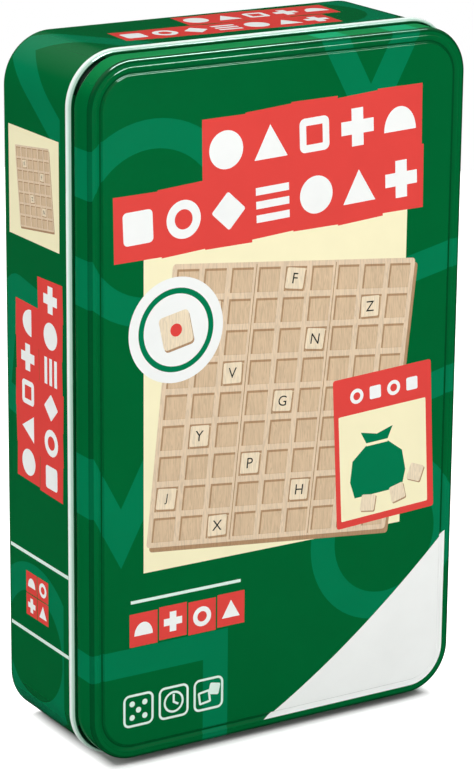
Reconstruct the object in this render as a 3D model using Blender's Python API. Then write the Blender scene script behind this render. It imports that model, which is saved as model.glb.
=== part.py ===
# Travel word tile game case: a tinplate case with a lift-off lid, holding three
# wooden grid boards with edge magnets, letter tiles, a cloth tile bag and a leaflet.
# The case stands on its short side. The lid faces -Y, +Z is up and lengths are metres.
import math

import bmesh
import bpy

# Case, outside of the flat walls, and front of the lid to the back rim
case_width = 0.120
case_height = 0.196
case_depth = 0.046
corner_radius = 0.014
corner_steps = 10
sheet = 0.0003
fit_gap = 0.0003

# Bead round the mouth, and the neck that the lid slides over
bead_width = 0.0026
bead_proud = 0.0008
bead_steps = 8
neck_clearance = 0.00025
mouth_curl = 0.0011
mouth_clearance = 0.0009
curl_steps = 7

# Back rim, with the base plate seamed into it
rim_radius = 0.0009
rim_lip = 0.0015
rim_steps = 4
base_recess = 0.0024
base_bend = 0.0007
base_step = 0.0005
base_step_inset = 0.0060
base_step_width = 0.0008

# Lid
lid_drop = 0.0083
lid_inset = 0.0007
lid_shoulder = 0.0010
lid_hem = 0.0016
lid_corner_lift = 0.0011
shoulder_steps = 5
groove_start = 0.0021
groove_slope = 0.0014
groove_floor = 0.0003
groove_rise = 0.0005
groove_depth = 0.0007
panel_drop = 0.0001
panel_margin = 0.0006
groove_steps = 5

# Grid boards. The shortfall is what they are shorter than the case
columns = 3
rows = 9
board_shortfall = 0.0138
cell_bar = 0.0022
base_ply = 0.0040
grid_ply = 0.0035
glue_line = 0.0001
ply_corner = 0.0030
ply_chamfer = 0.0004
ply_steps = 5
board_count = 3
loose_gap = 0.0003
wall_play = 0.0004

# Magnets let into the boards' long edges, at the middle of the second cell from each end
magnet_radius = 0.0025
magnet_thickness = 0.0015
magnet_row = 1
magnet_sides = 16
cut_overrun = 0.0010

# Letter tiles, given as column and row of the front board's cells
tile_play = 0.0011
tile_thickness = 0.0046
tile_corner = 0.0012
tile_chamfer = 0.0005
tile_steps = 2
tile_turn = math.radians(1.6)
tile_shift = 0.0003
tile_cells = (
    (0, 1), (1, 1), (2, 1), (1, 2), (1, 3), (0, 3), (2, 3), (2, 4), (2, 5),
    (1, 5), (0, 5), (0, 6), (0, 7), (1, 7), (2, 7), (1, 8),
)

# Leaflet: one sheet folded in a zigzag into panels
leaflet_panels = 4
leaflet_side_gap = 0.0075
leaflet_height = 0.1485
leaflet_paper = 0.00015
leaflet_spacing = 0.00027
fold_steps = 4

# Tile bag, with its neck drawn in by a cord. Flutes are the folds that run through the neck
bag_depth = 0.029
bag_neck = 0.121
bag_height = 0.146
bag_neck_radius = 0.0066
bag_side_gap = 0.0018
bag_board_gap = 0.0016
bag_foot = 0.010
bag_band = 0.0024
bag_sides = 32
bag_body_rings = 20
bag_frill_rings = 4
bag_flutes = 8
bag_flute_depth = 0.0011
bag_foot_share = 0.62
bag_shoulder_share = 0.70
bag_squareness_share = 1.2
bag_frill_share = 0.37
bag_frill_depth_share = 0.40

# Drawstring of the bag. The tail shares are how far down each point of a tail lies
cord_radius = 0.0011
cord_tail = 0.048
cord_spread = 0.0060
cord_point_spacing = 0.0050
cord_tail_shares = (1, 0.85, 0.7, 0.56, 0.43, 0.32, 0.22, 0.12)
cord_wrap_turns = 10
cord_gap_angle = math.radians(26)

# Worked out from the sizes above
front = -case_depth / 2
back = case_depth / 2
middle_height = bead_proud + case_height / 2
bead_front = front + lid_drop
bead_back = bead_front + bead_width
lid_edge = bead_front - fit_gap
neck_inset = lid_inset + 2 * sheet + neck_clearance
mouth = front + sheet + mouth_clearance
mouth_inset = neck_inset + mouth_curl
base_face = back - base_recess - base_step
cell_pitch = (case_height - board_shortfall - cell_bar) / rows
board_width = columns * cell_pitch + cell_bar
board_length = rows * cell_pitch + cell_bar
board_thickness = base_ply + glue_line + grid_ply
cell_size = cell_pitch - cell_bar
tile_size = cell_size - 2 * tile_play
leaflet_width = case_width - 2 * leaflet_side_gap
leaflet_thickness = (leaflet_panels - 1) * leaflet_spacing + leaflet_paper
content_floor = bead_proud + mouth_inset + wall_play
content_side = case_width / 2 - mouth_inset - wall_play
corner_reach = corner_radius - mouth_inset - wall_play
corner_side = case_width / 2 - corner_radius
corner_height = bead_proud + corner_radius
board_reach = (corner_reach - ply_corner) / math.sqrt(2) + ply_corner
board_side = board_width - corner_side - board_reach
bag_width = content_side - bag_side_gap - board_side - bag_board_gap
bag_frill_radius = bag_width * bag_frill_share


def material(name, colour, roughness, metallic=0.0):
    made = bpy.data.materials.new(name)
    made.use_nodes = True
    shader = made.node_tree.nodes["Principled BSDF"]
    shader.inputs["Base Color"].default_value = (*colour, 1.0)
    shader.inputs["Roughness"].default_value = roughness
    shader.inputs["Metallic"].default_value = metallic
    made.diffuse_color = (*colour, 1.0)
    return made


def finish(bm, name, surface, sharp_degrees=32.0):
    bmesh.ops.recalc_face_normals(bm, faces=bm.faces)
    mesh = bpy.data.meshes.new(name)
    bm.to_mesh(mesh)
    bm.free()
    mesh.materials.append(surface)
    mesh.shade_smooth()
    mesh.set_sharp_from_angle(angle=math.radians(sharp_degrees))
    return mesh


def place(name, mesh, location=(0, 0, 0), parent=None):
    made = bpy.data.objects.new(name, mesh)
    bpy.context.scene.collection.objects.link(made)
    made.location = location
    made.parent = parent
    return made


def holder(name, location):
    made = place(name, None, location)
    made.empty_display_size = sheet
    return made


# Points round a rounded rectangle in x and z, each with how far into a corner it lies, 0 to 1 to 0
def outline(width, height, radius, steps):
    points = []
    corners = ((1, 1, 0), (-1, 1, 1), (-1, -1, 2), (1, -1, 3))
    for side_x, side_z, quarter in corners:
        for step in range(steps + 1):
            turn = (quarter + step / steps) * math.pi / 2
            x = side_x * (width / 2 - radius) + radius * math.cos(turn)
            z = side_z * (height / 2 - radius) + radius * math.sin(turn)
            points.append((x, z, math.sin(math.pi * step / steps) ** 2))
    return points


# Sweeps a section round a rounded rectangle. Each section point is an inset, a depth and how
# far the depth moves towards the front at the middle of a corner
def swept(section, width, height, radius, steps, closed):
    bm = bmesh.new()
    rings = []
    for inset, depth, lift in section:
        ring = []
        for x, z, corner in outline(width - 2 * inset, height - 2 * inset, radius - inset, steps):
            ring.append(bm.verts.new((x, depth - lift * corner, z)))
        rings.append(ring)
    pairs = list(zip(rings, rings[1:]))
    if closed:
        pairs.append((rings[-1], rings[0]))
    for ring, following in pairs:
        for i in range(len(ring)):
            j = (i + 1) % len(ring)
            bm.faces.new((ring[i], ring[j], following[j], following[i]))
    if not closed:
        bm.faces.new(rings[0])
        bm.faces.new(rings[-1])
    return bm


def arc(centre_inset, centre_depth, radius, start, end, steps):
    points = []
    for step in range(steps + 1):
        turn = math.radians(start + (end - start) * step / steps)
        points.append((centre_inset + radius * math.cos(turn), centre_depth + radius * math.sin(turn)))
    return points


def bead(inset, low, high, steps):
    points = []
    for step in range(steps + 1):
        share = step / steps
        points.append((inset - bead_proud * math.sin(math.pi * share), low + (high - low) * share))
    return points


# A soft slope from one inset and depth to another
def slope(start, end, steps):
    points = []
    for step in range(steps + 1):
        share = step / steps
        eased = share * share * (3 - 2 * share)
        points.append((start[0] + (end[0] - start[0]) * share, start[1] + (end[1] - start[1]) * eased))
    return points


def level(points, lift=0):
    return [(inset, depth, lift) for inset, depth in points]


def case_wall(surface):
    rim_centre = back - rim_radius
    curl_centre = mouth + mouth_curl / 2
    outside = [(rim_lip, back - sheet), (rim_lip, back)]
    outside += arc(rim_radius, rim_centre, rim_radius, 90, 180, rim_steps)
    outside += reversed(bead(0, bead_front, bead_back, bead_steps))
    outside += [(neck_inset, bead_front)]
    outside += arc(neck_inset + mouth_curl / 2, curl_centre, mouth_curl / 2, 180, 405, curl_steps)
    inside = [(neck_inset + sheet, curl_centre + mouth_curl / 2)]
    inside += [(neck_inset + sheet, bead_front + sheet)]
    inside += bead(sheet, bead_front + sheet, bead_back, bead_steps // 2)
    inside += arc(rim_radius, rim_centre, rim_radius - sheet, 180, 90, rim_steps)
    bm = swept(level(outside + inside), case_width, case_height, corner_radius, corner_steps, True)
    return place("case_wall", finish(bm, "case_wall", surface), (0, 0, middle_height))


def base_plate(surface):
    edge = sheet + fit_gap
    top = back - sheet - fit_gap
    plate_back = back - base_recess
    step_end = (base_step_inset + base_step_width, base_face)
    behind = [(step_end[0] + base_step_width, base_face)]
    behind += reversed(slope((base_step_inset, plate_back), step_end, rim_steps))
    behind += reversed(arc(edge + base_bend, plate_back + base_bend - sheet, base_bend - sheet, 180, 270, rim_steps))
    behind += [(edge + sheet, top), (edge, top)]
    before = arc(edge + base_bend, plate_back + base_bend - sheet, base_bend, 180, 270, rim_steps)
    before += slope((base_step_inset, plate_back - sheet), (step_end[0], base_face - sheet), rim_steps)
    before += [(step_end[0] + base_step_width, base_face - sheet)]
    bm = swept(level(behind + before), case_width, case_height, corner_radius, corner_steps, False)
    return place("base_plate", finish(bm, "base_plate", surface), (0, 0, middle_height))


def lid(surface):
    panel = front + panel_drop
    floor = front + groove_depth
    slope_start = lid_inset + groove_start
    slope_end = slope_start + groove_slope
    rise_start = slope_end + groove_floor
    rise_end = rise_start + groove_rise
    panel_edge = rise_end + panel_margin
    centre = (lid_inset + lid_shoulder, front + lid_shoulder)

    outside = [(panel_edge, panel)]
    outside += reversed(slope((rise_start, floor), (rise_end, panel), groove_steps - 1))
    outside += reversed(slope((slope_start, front), (slope_end, floor), groove_steps))
    outside += reversed(arc(*centre, lid_shoulder, 180, 270, shoulder_steps))
    hem_inset = lid_inset + 2 * sheet
    hem = [(lid_inset, lid_edge), (hem_inset, lid_edge), (hem_inset, lid_edge - lid_hem)]
    hem += [(lid_inset + sheet, lid_edge - lid_hem)]
    inside = arc(*centre, lid_shoulder - sheet, 180, 270, shoulder_steps - 1)
    inside += slope((slope_start, front + sheet), (slope_end, floor + sheet), groove_steps - 1)
    inside += slope((rise_start, floor + sheet), (rise_end, panel + sheet), groove_steps - 2)
    inside += [(panel_edge, panel + sheet)]
    section = level(outside) + level(hem, lid_corner_lift) + level(inside)
    bm = swept(section, case_width, case_height, corner_radius, corner_steps, False)
    seat = holder("lid_seat", (0, bead_front, middle_height))
    made = place("lid", finish(bm, "lid", surface), (0, -bead_front, 0), seat)
    return made


# A flat plate in x and z with chamfered edges, centred on its middle
def plate(name, surface, width, height, thickness, radius, chamfer, steps):
    half = thickness / 2
    section = [(chamfer, -half), (0, chamfer - half), (0, half - chamfer), (chamfer, half)]
    return finish(swept(level(section), width, height, radius, steps, False), name, surface)


def cutter(name, bm):
    mesh = bpy.data.meshes.new(name)
    bmesh.ops.recalc_face_normals(bm, faces=bm.faces)
    bm.to_mesh(mesh)
    bm.free()
    made = place(name, mesh)
    made.hide_render = True
    made.display_type = "WIRE"
    return made


def cell_middle(column, row):
    x = (column - (columns - 1) / 2) * cell_pitch
    z = ((rows - 1) / 2 - row) * cell_pitch
    return x, z


def magnet_places():
    height = cell_middle(0, magnet_row)[1]
    return [(side, level_side * height) for side in (-1, 1) for level_side in (-1, 1)]


def cell_cutter():
    bm = bmesh.new()
    for column in range(columns):
        for row in range(rows):
            x, z = cell_middle(column, row)
            cube = bmesh.ops.create_cube(bm, size=1.0)["verts"]
            bmesh.ops.scale(bm, verts=cube, vec=(cell_size, grid_ply + 2 * cut_overrun, cell_size))
            bmesh.ops.translate(bm, verts=cube, vec=(x, 0, z))
    return cutter("cell_cutter", bm)


def round_bar(bm, radius, length, middle):
    made = bmesh.ops.create_cone(
        bm, cap_ends=True, segments=magnet_sides, radius1=radius, radius2=radius, depth=length
    )["verts"]
    for vert in made:
        vert.co = (vert.co.z + middle[0], vert.co.x + middle[1], vert.co.y + middle[2])


def pocket_cutter():
    bm = bmesh.new()
    depth = magnet_thickness + fit_gap
    for side, z in magnet_places():
        x = side * (board_width / 2 + (cut_overrun - depth) / 2)
        round_bar(bm, magnet_radius + fit_gap / 2, depth + cut_overrun, (x, 0, z))
    return cutter("pocket_cutter", bm)


def cut(target, tool, offset):
    modifier = target.modifiers.new("cut", "BOOLEAN")
    modifier.operation = "DIFFERENCE"
    modifier.solver = "EXACT"
    made = tool.copy()
    bpy.context.scene.collection.objects.link(made)
    made.name = tool.name + "_" + target.name
    made.parent = target
    made.location = (0, offset, 0)
    modifier.object = made


# Boards lie one on another on the leaflet. Board 1 is at the back and the last is at the front
def boards(wood, pale_wood, steel):
    cells = cell_cutter()
    pockets = pocket_cutter()
    base_offset = (board_thickness - base_ply) / 2
    grid_offset = (grid_ply - board_thickness) / 2
    sizes = (board_width, board_length)
    shared_base = plate("base_ply", wood, *sizes, base_ply, ply_corner, ply_chamfer, ply_steps)
    shared_grid = plate("grid_ply", pale_wood, *sizes, grid_ply, ply_corner, ply_chamfer, ply_steps)
    disc = bmesh.new()
    round_bar(disc, magnet_radius, magnet_thickness, (0, 0, 0))
    shared_magnet = finish(disc, "magnet", steel)
    first_face = base_face - sheet - loose_gap - leaflet_thickness - loose_gap
    x = board_side - board_width / 2
    z = board_length / 2 + corner_height - board_reach
    made = []
    for number in range(1, board_count + 1):
        y = first_face - board_thickness / 2 - (number - 1) * (board_thickness + loose_gap)
        board = holder(f"board_{number}", (x, y, z))
        base = place(f"board_{number}_base", shared_base.copy(), (0, base_offset, 0), board)
        grid = place(f"board_{number}_grid", shared_grid.copy(), (0, grid_offset, 0), board)
        cut(base, pockets, -base_offset)
        cut(grid, pockets, -grid_offset)
        cut(grid, cells, 0)
        for index, (side, height) in enumerate(magnet_places(), 1):
            edge = side * (board_width / 2 - magnet_thickness / 2)
            place(f"board_{number}_magnet_{index}", shared_magnet, (edge, 0, height), board)
        made.append(board)
    bpy.data.objects.remove(cells)
    bpy.data.objects.remove(pockets)
    return made


def tiles(board, surface):
    mesh = plate("tile", surface, tile_size, tile_size, tile_thickness, tile_corner, tile_chamfer, tile_steps)
    floor = board_thickness / 2 - base_ply
    y = floor - loose_gap - tile_thickness / 2
    for index, (column, row) in enumerate(tile_cells, 1):
        x, z = cell_middle(column, row)
        place_x = x + tile_shift * math.sin(5 * index)
        place_z = z + tile_shift * math.cos(3 * index)
        tile = place(f"tile_{index:02d}", mesh, (place_x, y, place_z), board)
        tile.rotation_euler = (0, tile_turn * math.sin(7 * index), 0)


# The middle line of the folded sheet, seen from above, with its normals
def fold_line():
    points = []
    for panel in range(leaflet_panels):
        depth = panel * leaflet_spacing
        way = 1 if panel % 2 == 0 else -1
        points.append(((-way * leaflet_width / 2, depth), (0, -way)))
        end = way * leaflet_width / 2
        if panel == leaflet_panels - 1:
            points.append(((end, depth), (0, -way)))
            break
        for step in range(fold_steps + 1):
            turn = math.pi * (step / fold_steps - 0.5)
            centre = depth + leaflet_spacing / 2
            reach = leaflet_spacing / 2
            x = end + way * reach * math.cos(turn)
            points.append(((x, centre + reach * math.sin(turn)), (math.cos(turn), way * math.sin(turn))))
    return points


def leaflet(surface):
    bm = bmesh.new()
    half = leaflet_paper / 2
    rings = []
    for (x, y), (normal_x, normal_y) in fold_line():
        ring = []
        for side, z in ((-1, 0), (1, 0), (1, leaflet_height), (-1, leaflet_height)):
            ring.append(bm.verts.new((x + side * half * normal_x, -y - side * half * normal_y, z)))
        rings.append(ring)
    for ring, following in zip(rings, rings[1:]):
        for i in range(4):
            j = (i + 1) % 4
            bm.faces.new((ring[i], ring[j], following[j], following[i]))
    bm.faces.new(rings[0])
    bm.faces.new(rings[-1])
    y = base_face - sheet - loose_gap - leaflet_paper / 2
    fold_reach = leaflet_width / 2 + leaflet_spacing + leaflet_paper - corner_side
    z = corner_height - math.sqrt(corner_reach ** 2 - fold_reach ** 2)
    return place("leaflet", finish(bm, "leaflet", surface), (0, y, z))


# How full the bag is at a height: 1 along its body, falling to 0 at the drawn neck
def bag_swell(height):
    shoulder = bag_neck * bag_shoulder_share
    if height <= shoulder:
        return 1
    share = min((height - shoulder) / (bag_neck - bag_band - shoulder), 1)
    return (1 + math.cos(math.pi * share)) / 2


# Half width, half depth and squareness of the bag at a height. A squareness of 1 is an ellipse
def bag_section(height):
    swell = bag_swell(height)
    rounding = 1 - min(height / bag_foot, 1)
    frill = bag_neck + bag_band
    foot = bag_foot_share + (1 - bag_foot_share) * math.sqrt(1 - rounding ** 2)
    wide = bag_neck_radius + (bag_width / 2 * foot - bag_neck_radius) * swell
    deep = bag_neck_radius + (bag_depth / 2 * foot - bag_neck_radius) * swell
    if height > frill:
        opening = math.sin((height - frill) / (bag_height - frill) * math.pi / 2)
        wide += (bag_frill_radius - bag_neck_radius) * opening
        deep += (bag_frill_radius - bag_neck_radius) * opening * bag_frill_depth_share
    return wide, deep, 1 + bag_squareness_share * swell


def bag_heights():
    body = bag_neck - bag_band
    frill = bag_neck + bag_band
    heights = [body * step / bag_body_rings for step in range(bag_body_rings + 1)]
    for step in range(bag_frill_rings + 1):
        heights.append(frill + (bag_height - frill) * step / bag_frill_rings)
    return heights


def bag(surface):
    bm = bmesh.new()
    rings = []
    for height in bag_heights():
        wide, deep, square = bag_section(height)
        flute = bag_flute_depth * (1 - bag_swell(height))
        ring = []
        for side in range(bag_sides):
            turn = 2 * math.pi * side / bag_sides
            c, s = math.cos(turn), math.sin(turn)
            wave = flute * (math.cos(bag_flutes * turn) - 1)
            x = (wide + wave) * math.copysign(abs(c) ** (1 / square), c)
            y = (deep + wave) * math.copysign(abs(s) ** (1 / square), s)
            ring.append(bm.verts.new((x, y, height)))
        rings.append(ring)
    for ring, following in zip(rings, rings[1:]):
        for i in range(bag_sides):
            j = (i + 1) % bag_sides
            bm.faces.new((ring[i], ring[j], following[j], following[i]))
    bm.faces.new(rings[0])
    bm.faces.new(rings[-1])
    return place("tile_bag", finish(bm, "tile_bag", surface, 50.0), bag_place())


def bag_place():
    x = content_side - bag_side_gap - bag_width / 2
    y = base_face - sheet - loose_gap - leaflet_thickness - loose_gap - bag_depth / 2
    return x, y, content_floor


def catmull(points, spacing):
    made = []
    count = len(points)
    for i in range(count - 1):
        before = points[max(i - 1, 0)]
        start, end = points[i], points[i + 1]
        after = points[min(i + 2, count - 1)]
        length = math.dist(start, end)
        steps = max(2, round(length / spacing))
        for step in range(steps):
            t = step / steps
            made.append(tuple(
                0.5 * (2 * b + (c - a) * t + (2 * a - 5 * b + 4 * c - d) * t * t + (3 * b - a - 3 * c + d) * t ** 3)
                for a, b, c, d in zip(before, start, end, after)
            ))
    made.append(points[-1])
    return made


# The drawstring: up one side of the bag's front, round the back of the neck and down again
def bag_cord(surface):
    reach = bag_neck_radius + cord_radius + fit_gap
    route = []
    for share in cord_tail_shares:
        height = bag_neck - cord_tail * share
        deep = bag_section(height)[1] + cord_radius + fit_gap
        route.append((-cord_spread * (1 + share) / 2, -deep, height))
    loop = []
    for step in range(cord_wrap_turns + 1):
        turn = -math.pi / 2 - cord_gap_angle - (2 * math.pi - 2 * cord_gap_angle) * step / cord_wrap_turns
        loop.append((reach * math.cos(turn), reach * math.sin(turn), bag_neck))
    far_side = [(-x, y, z) for x, y, z in reversed(route)]
    points = catmull(route + loop + far_side, cord_point_spacing)
    curve = bpy.data.curves.new("bag_cord", "CURVE")
    curve.dimensions = "3D"
    curve.bevel_depth = cord_radius
    curve.bevel_resolution = 2
    curve.use_fill_caps = True
    spline = curve.splines.new("POLY")
    spline.points.add(len(points) - 1)
    for point, place_at in zip(spline.points, points):
        point.co = (*place_at, 1)
    curve.materials.append(surface)
    return place("bag_cord", curve, bag_place())


def main():
    for old in list(bpy.data.objects):
        bpy.data.objects.remove(old)
    green = material("printed_tin", (0.0, 0.13, 0.05), 0.32)
    tin = material("bare_tin", (0.55, 0.56, 0.55), 0.35, 1.0)
    wood = material("plywood", (0.62, 0.42, 0.25), 0.6)
    pale_wood = material("grid_wood", (0.72, 0.52, 0.33), 0.6)
    tile_wood = material("tile_wood", (0.78, 0.6, 0.4), 0.55)
    steel = material("magnet_nickel", (0.7, 0.7, 0.72), 0.25, 1.0)
    paper = material("leaflet_paper", (0.85, 0.85, 0.82), 0.8)
    cloth = material("bag_cloth", (0.78, 0.72, 0.6), 0.95)
    cord = material("bag_cord", (0.82, 0.78, 0.68), 0.9)
    case_wall(green)
    base_plate(tin)
    lid(green)
    stack = boards(wood, pale_wood, steel)
    tiles(stack[-1], tile_wood)
    leaflet(paper)
    bag(cloth)
    bag_cord(cord)


main()
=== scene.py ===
import math

import bmesh
import bpy
from mathutils import Matrix, Vector
from mathutils.geometry import delaunay_2d_cdt


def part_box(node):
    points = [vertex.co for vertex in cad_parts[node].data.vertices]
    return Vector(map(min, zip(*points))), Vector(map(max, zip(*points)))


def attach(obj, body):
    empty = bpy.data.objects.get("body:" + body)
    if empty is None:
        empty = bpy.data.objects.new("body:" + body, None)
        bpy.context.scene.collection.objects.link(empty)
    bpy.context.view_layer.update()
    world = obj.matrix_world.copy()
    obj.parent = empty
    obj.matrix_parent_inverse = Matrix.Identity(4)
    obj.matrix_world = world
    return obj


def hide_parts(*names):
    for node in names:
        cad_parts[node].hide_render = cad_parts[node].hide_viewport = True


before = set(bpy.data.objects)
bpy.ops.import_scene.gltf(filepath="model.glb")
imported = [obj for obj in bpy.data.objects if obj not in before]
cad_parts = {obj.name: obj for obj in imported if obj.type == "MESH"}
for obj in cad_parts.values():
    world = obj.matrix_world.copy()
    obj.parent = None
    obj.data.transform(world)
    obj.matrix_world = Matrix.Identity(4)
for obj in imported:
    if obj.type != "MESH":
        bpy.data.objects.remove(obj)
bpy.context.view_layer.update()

# Dressing for the travel word tile game case. Lengths are metres, and print is laid out in millimetres
mm = 0.001
scene = bpy.context.scene
scene.view_settings.view_transform = "Standard"

wallLow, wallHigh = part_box("case_wall")
lidLow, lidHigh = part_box("lid")
front = lidLow.y                       # outer face of the lid's flange
back = wallHigh.y                      # rear of the folded rim
middle = (wallLow.z + wallHigh.z) / 2  # height of the case's centre

# Camera, fitted to the case's long edges
camera = {
    "azimuth": -31.96,
    "elevation": 16.8,
    "roll": 0.53,
    "distance": 0.8417,
    "target": (-0.01385, -0.023, 0.1040),
    "focalPixels": 3110.3,
    "longSidePixels": 769,
}


def makeCamera():
    azimuth, elevation, roll = (math.radians(camera[k]) for k in ("azimuth", "elevation", "roll"))
    level = math.cos(elevation)
    away = Vector((math.sin(azimuth) * level, -math.cos(azimuth) * level, math.sin(elevation)))
    right = Vector((math.cos(azimuth), math.sin(azimuth), 0))
    rolledRight = right * math.cos(roll) + away.cross(right) * math.sin(roll)
    made = bpy.data.objects.new("camera", bpy.data.cameras.new("camera"))
    scene.collection.objects.link(made)
    turn = Matrix((rolledRight, away.cross(rolledRight), away)).transposed()
    spot = Vector(camera["target"]) + away * camera["distance"]
    made.matrix_world = Matrix.Translation(spot) @ turn.to_4x4()
    made.data.sensor_width = 36
    made.data.lens = camera["focalPixels"] * made.data.sensor_width / camera["longSidePixels"]
    made.data.clip_start, made.data.clip_end = 0.01, 50
    scene.camera = made


# Colours of the print and the materials, with some painted shade and painted reflection, as the display
# shows them
inks = {
    "ground": (0, 101, 50),
    # The darker green is painted shade on the lid's shoulder, round its groove's floor and on the step
    # behind the lid
    "deep": (0, 78, 38),
    # The bead's white is tinted green as painted reflection of the print. The bead inks after it darken it
    # forward as painted shade, and shadow is a painted shadow behind the lid's corners
    "bead": (240, 251, 245),
    "mint": (228, 250, 239),
    "beadTurnShade": (218, 240, 229),
    "beadShade": (178, 212, 195),
    "beadEdgeShade": (90, 146, 118),
    "shadow": (2, 30, 17),
    "tone": (3, 124, 80),
    # painted shade on the lid's shoulder where pale shapes run over it
    "toneShoulderShade": (0, 100, 62),
    "red": (230, 74, 68),
    "cream": (255, 247, 206),
    "white": (250, 252, 250),
    "black": (34, 38, 36),
    "woodFace": (236, 212, 182),
    "woodCell": (224, 196, 162),
    "woodEdge": (184, 148, 112),
    "woodTile": (248, 230, 200),
    "paper": (244, 243, 236),
    "greyText": (120, 122, 120),
    "tileWood": (238, 214, 178),
    "tinDull": (196, 198, 197),
    "tinPale": (220, 221, 218),
    "tinRubbed": (228, 228, 224),
    "nickel": (204, 200, 192),
    "nickelRubbed": (168, 150, 128),
    "plywoodPale": (238, 216, 182),
    "plywoodDeep": (218, 188, 150),
    "plywoodCut": (198, 160, 118),
    "gridWoodPale": (244, 224, 192),
    "gridWoodDeep": (226, 198, 160),
    "gridWoodCut": (168, 126, 88),
    "clothDeep": (226, 214, 186),
    "clothPale": (238, 230, 208),
    # painted shade in the gaps of the weave
    "clothGapShade": (160, 144, 112),
    "clothCloud": (206, 192, 158),
    "bagThreadPale": (236, 230, 212),
    "bagThreadDeep": (206, 196, 168),
    "cordCottonPale": (240, 232, 210),
    "cordCottonDeep": (204, 190, 158),
}


def linear(rgb, share=1):
    made = []
    for value in rgb:
        light = value * share / 255
        made.append(light / 12.92 if light <= 0.04045 else ((light + 0.055) / 1.055) ** 2.4)
    return (*made, 1.0)


# Node trees. A value is a node's output, and its sums are nodes too
class Value:
    def __init__(self, graph, socket):
        self.graph = graph
        self.socket = socket

    def __add__(self, other):
        return self.graph.calc("ADD", self, other)

    def __sub__(self, other):
        return self.graph.calc("SUBTRACT", self, other)

    def __rsub__(self, other):
        return self.graph.calc("SUBTRACT", other, self)

    def __mul__(self, other):
        return self.graph.calc("MULTIPLY", self, other)


# Adds nodes and joins them. An input is a number, a colour or a value
class Graph:
    def __init__(self, tree):
        self.tree = tree

    def join(self, value, socket):
        if isinstance(value, Value):
            self.tree.links.new(value.socket, socket)
        else:
            socket.default_value = value

    def node(self, kind, inputs=None, **settings):
        made = self.tree.nodes.new(kind)
        for key, value in settings.items():
            setattr(made, key, value)
        for key, value in (inputs or {}).items():
            self.join(value, made.inputs[key])
        return made

    def results(self, kind, inputs=None, **settings):
        return {socket.name: Value(self, socket) for socket in self.node(kind, inputs, **settings).outputs}

    def shade(self, kind, inputs=None, output=0, **settings):
        return Value(self, self.node("ShaderNode" + kind, inputs, **settings).outputs[output])

    def geo(self, kind, inputs=None, output=0, **settings):
        return Value(self, self.node("GeometryNode" + kind, inputs, **settings).outputs[output])

    def joined(self, *parts):
        made = self.node("GeometryNodeJoinGeometry")
        for part in parts:
            self.join(part, made.inputs[0])
        return Value(self, made.outputs[0])

    def calc(self, operation, *values):
        return self.shade("Math", dict(enumerate(values)), operation=operation)

    # A colour is four linear values, or the name of an ink
    def mixColour(self, share, a, b):
        a, b = (linear(inks[colour]) if isinstance(colour, str) else colour for colour in (a, b))
        return self.shade("Mix", {0: share, 6: a, 7: b}, 2, data_type="RGBA")

    def mapRange(self, value, low, high, toLow=0.0, toHigh=1.0):
        return self.shade("MapRange", {0: value, 1: low, 2: high, 3: toLow, 4: toHigh})

    # Spreads the middle of a noise over a range
    def spread(self, value, toLow, toHigh):
        return self.mapRange(value, 0.3, 0.7, toLow, toHigh)

    # A scale of three values stretches the noise
    def noise(self, vector, scale, detail=3.0, roughness=0.5, distortion=0.0):
        if isinstance(scale, tuple):
            vector = self.shade("Mapping", {"Vector": vector, "Scale": scale})
            scale = 1.0
        return self.shade("TexNoise", {"Vector": vector, "Scale": scale, "Detail": detail,
                                       "Roughness": roughness, "Distortion": distortion})

    def scaled(self, vector, by):
        return self.shade("VectorMath", {0: vector, 3: by}, operation="SCALE")

    def vector(self, x=0.0, y=0.0, z=0.0):
        return self.shade("CombineXYZ", {0: x, 1: y, 2: z})

    def axes(self, vector):
        return list(self.results("ShaderNodeSeparateXYZ", {0: vector}).values())

    def attribute(self, name, output="Fac"):
        return self.shade("Attribute", None, output, attribute_name=name)

    def group(self, tree, vector, inputs):
        return self.results("ShaderNodeGroup", {"Vector": vector, **inputs}, node_tree=tree)


def socketKind(value):
    if value is None:
        return "NodeSocketGeometry"
    kinds = ((int, "Int"), (float, "Float"), (bpy.types.Material, "Material"), (object, "Vector"))
    return "NodeSocket" + next(kind for held, kind in kinds if isinstance(value, held))


def startTree(name, kind, inputs):
    tree = bpy.data.node_groups.new(name, kind)
    for key, value in inputs.items():
        socket = tree.interface.new_socket(name=key, in_out="INPUT", socket_type=socketKind(value))
        if value is not None:
            socket.default_value = value
    g = Graph(tree)
    return g, g.results("NodeGroupInput")


def endTree(g, outputs, kind="NodeSocketFloat"):
    for key in outputs:
        g.tree.interface.new_socket(name=key, in_out="OUTPUT", socket_type=kind)
    g.node("NodeGroupOutput", outputs)
    return g.tree


def startGroup(name, inputs):
    return startTree(name, "ShaderNodeTree", {"Vector": (0.0, 0.0, 0.0), **inputs})


# Wood grain that runs along the vector's x. Grain is 0 to 1, and Pores are short dark flecks
def woodGrainGroup():
    g, given = startGroup("woodGrain", {"Scale": 300.0})
    scaled = g.scaled(given["Vector"], given["Scale"])
    broad = g.noise(scaled, (0.05, 0.6, 0.6), 3.0, 0.55, 0.4)
    bands = g.calc("SINE", g.calc("FRACT", broad * 7.0) * math.pi)
    grain = bands * 0.45 + g.noise(scaled, (0.09, 2.6, 2.6), 4.0, 0.6) * 0.55
    pores = g.mapRange(g.noise(scaled, (0.35, 7.0, 7.0), 2.0), 0.60, 0.72)
    return endTree(g, {"Grain": grain, "Pores": pores, "Height": grain - pores * 0.7})


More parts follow.
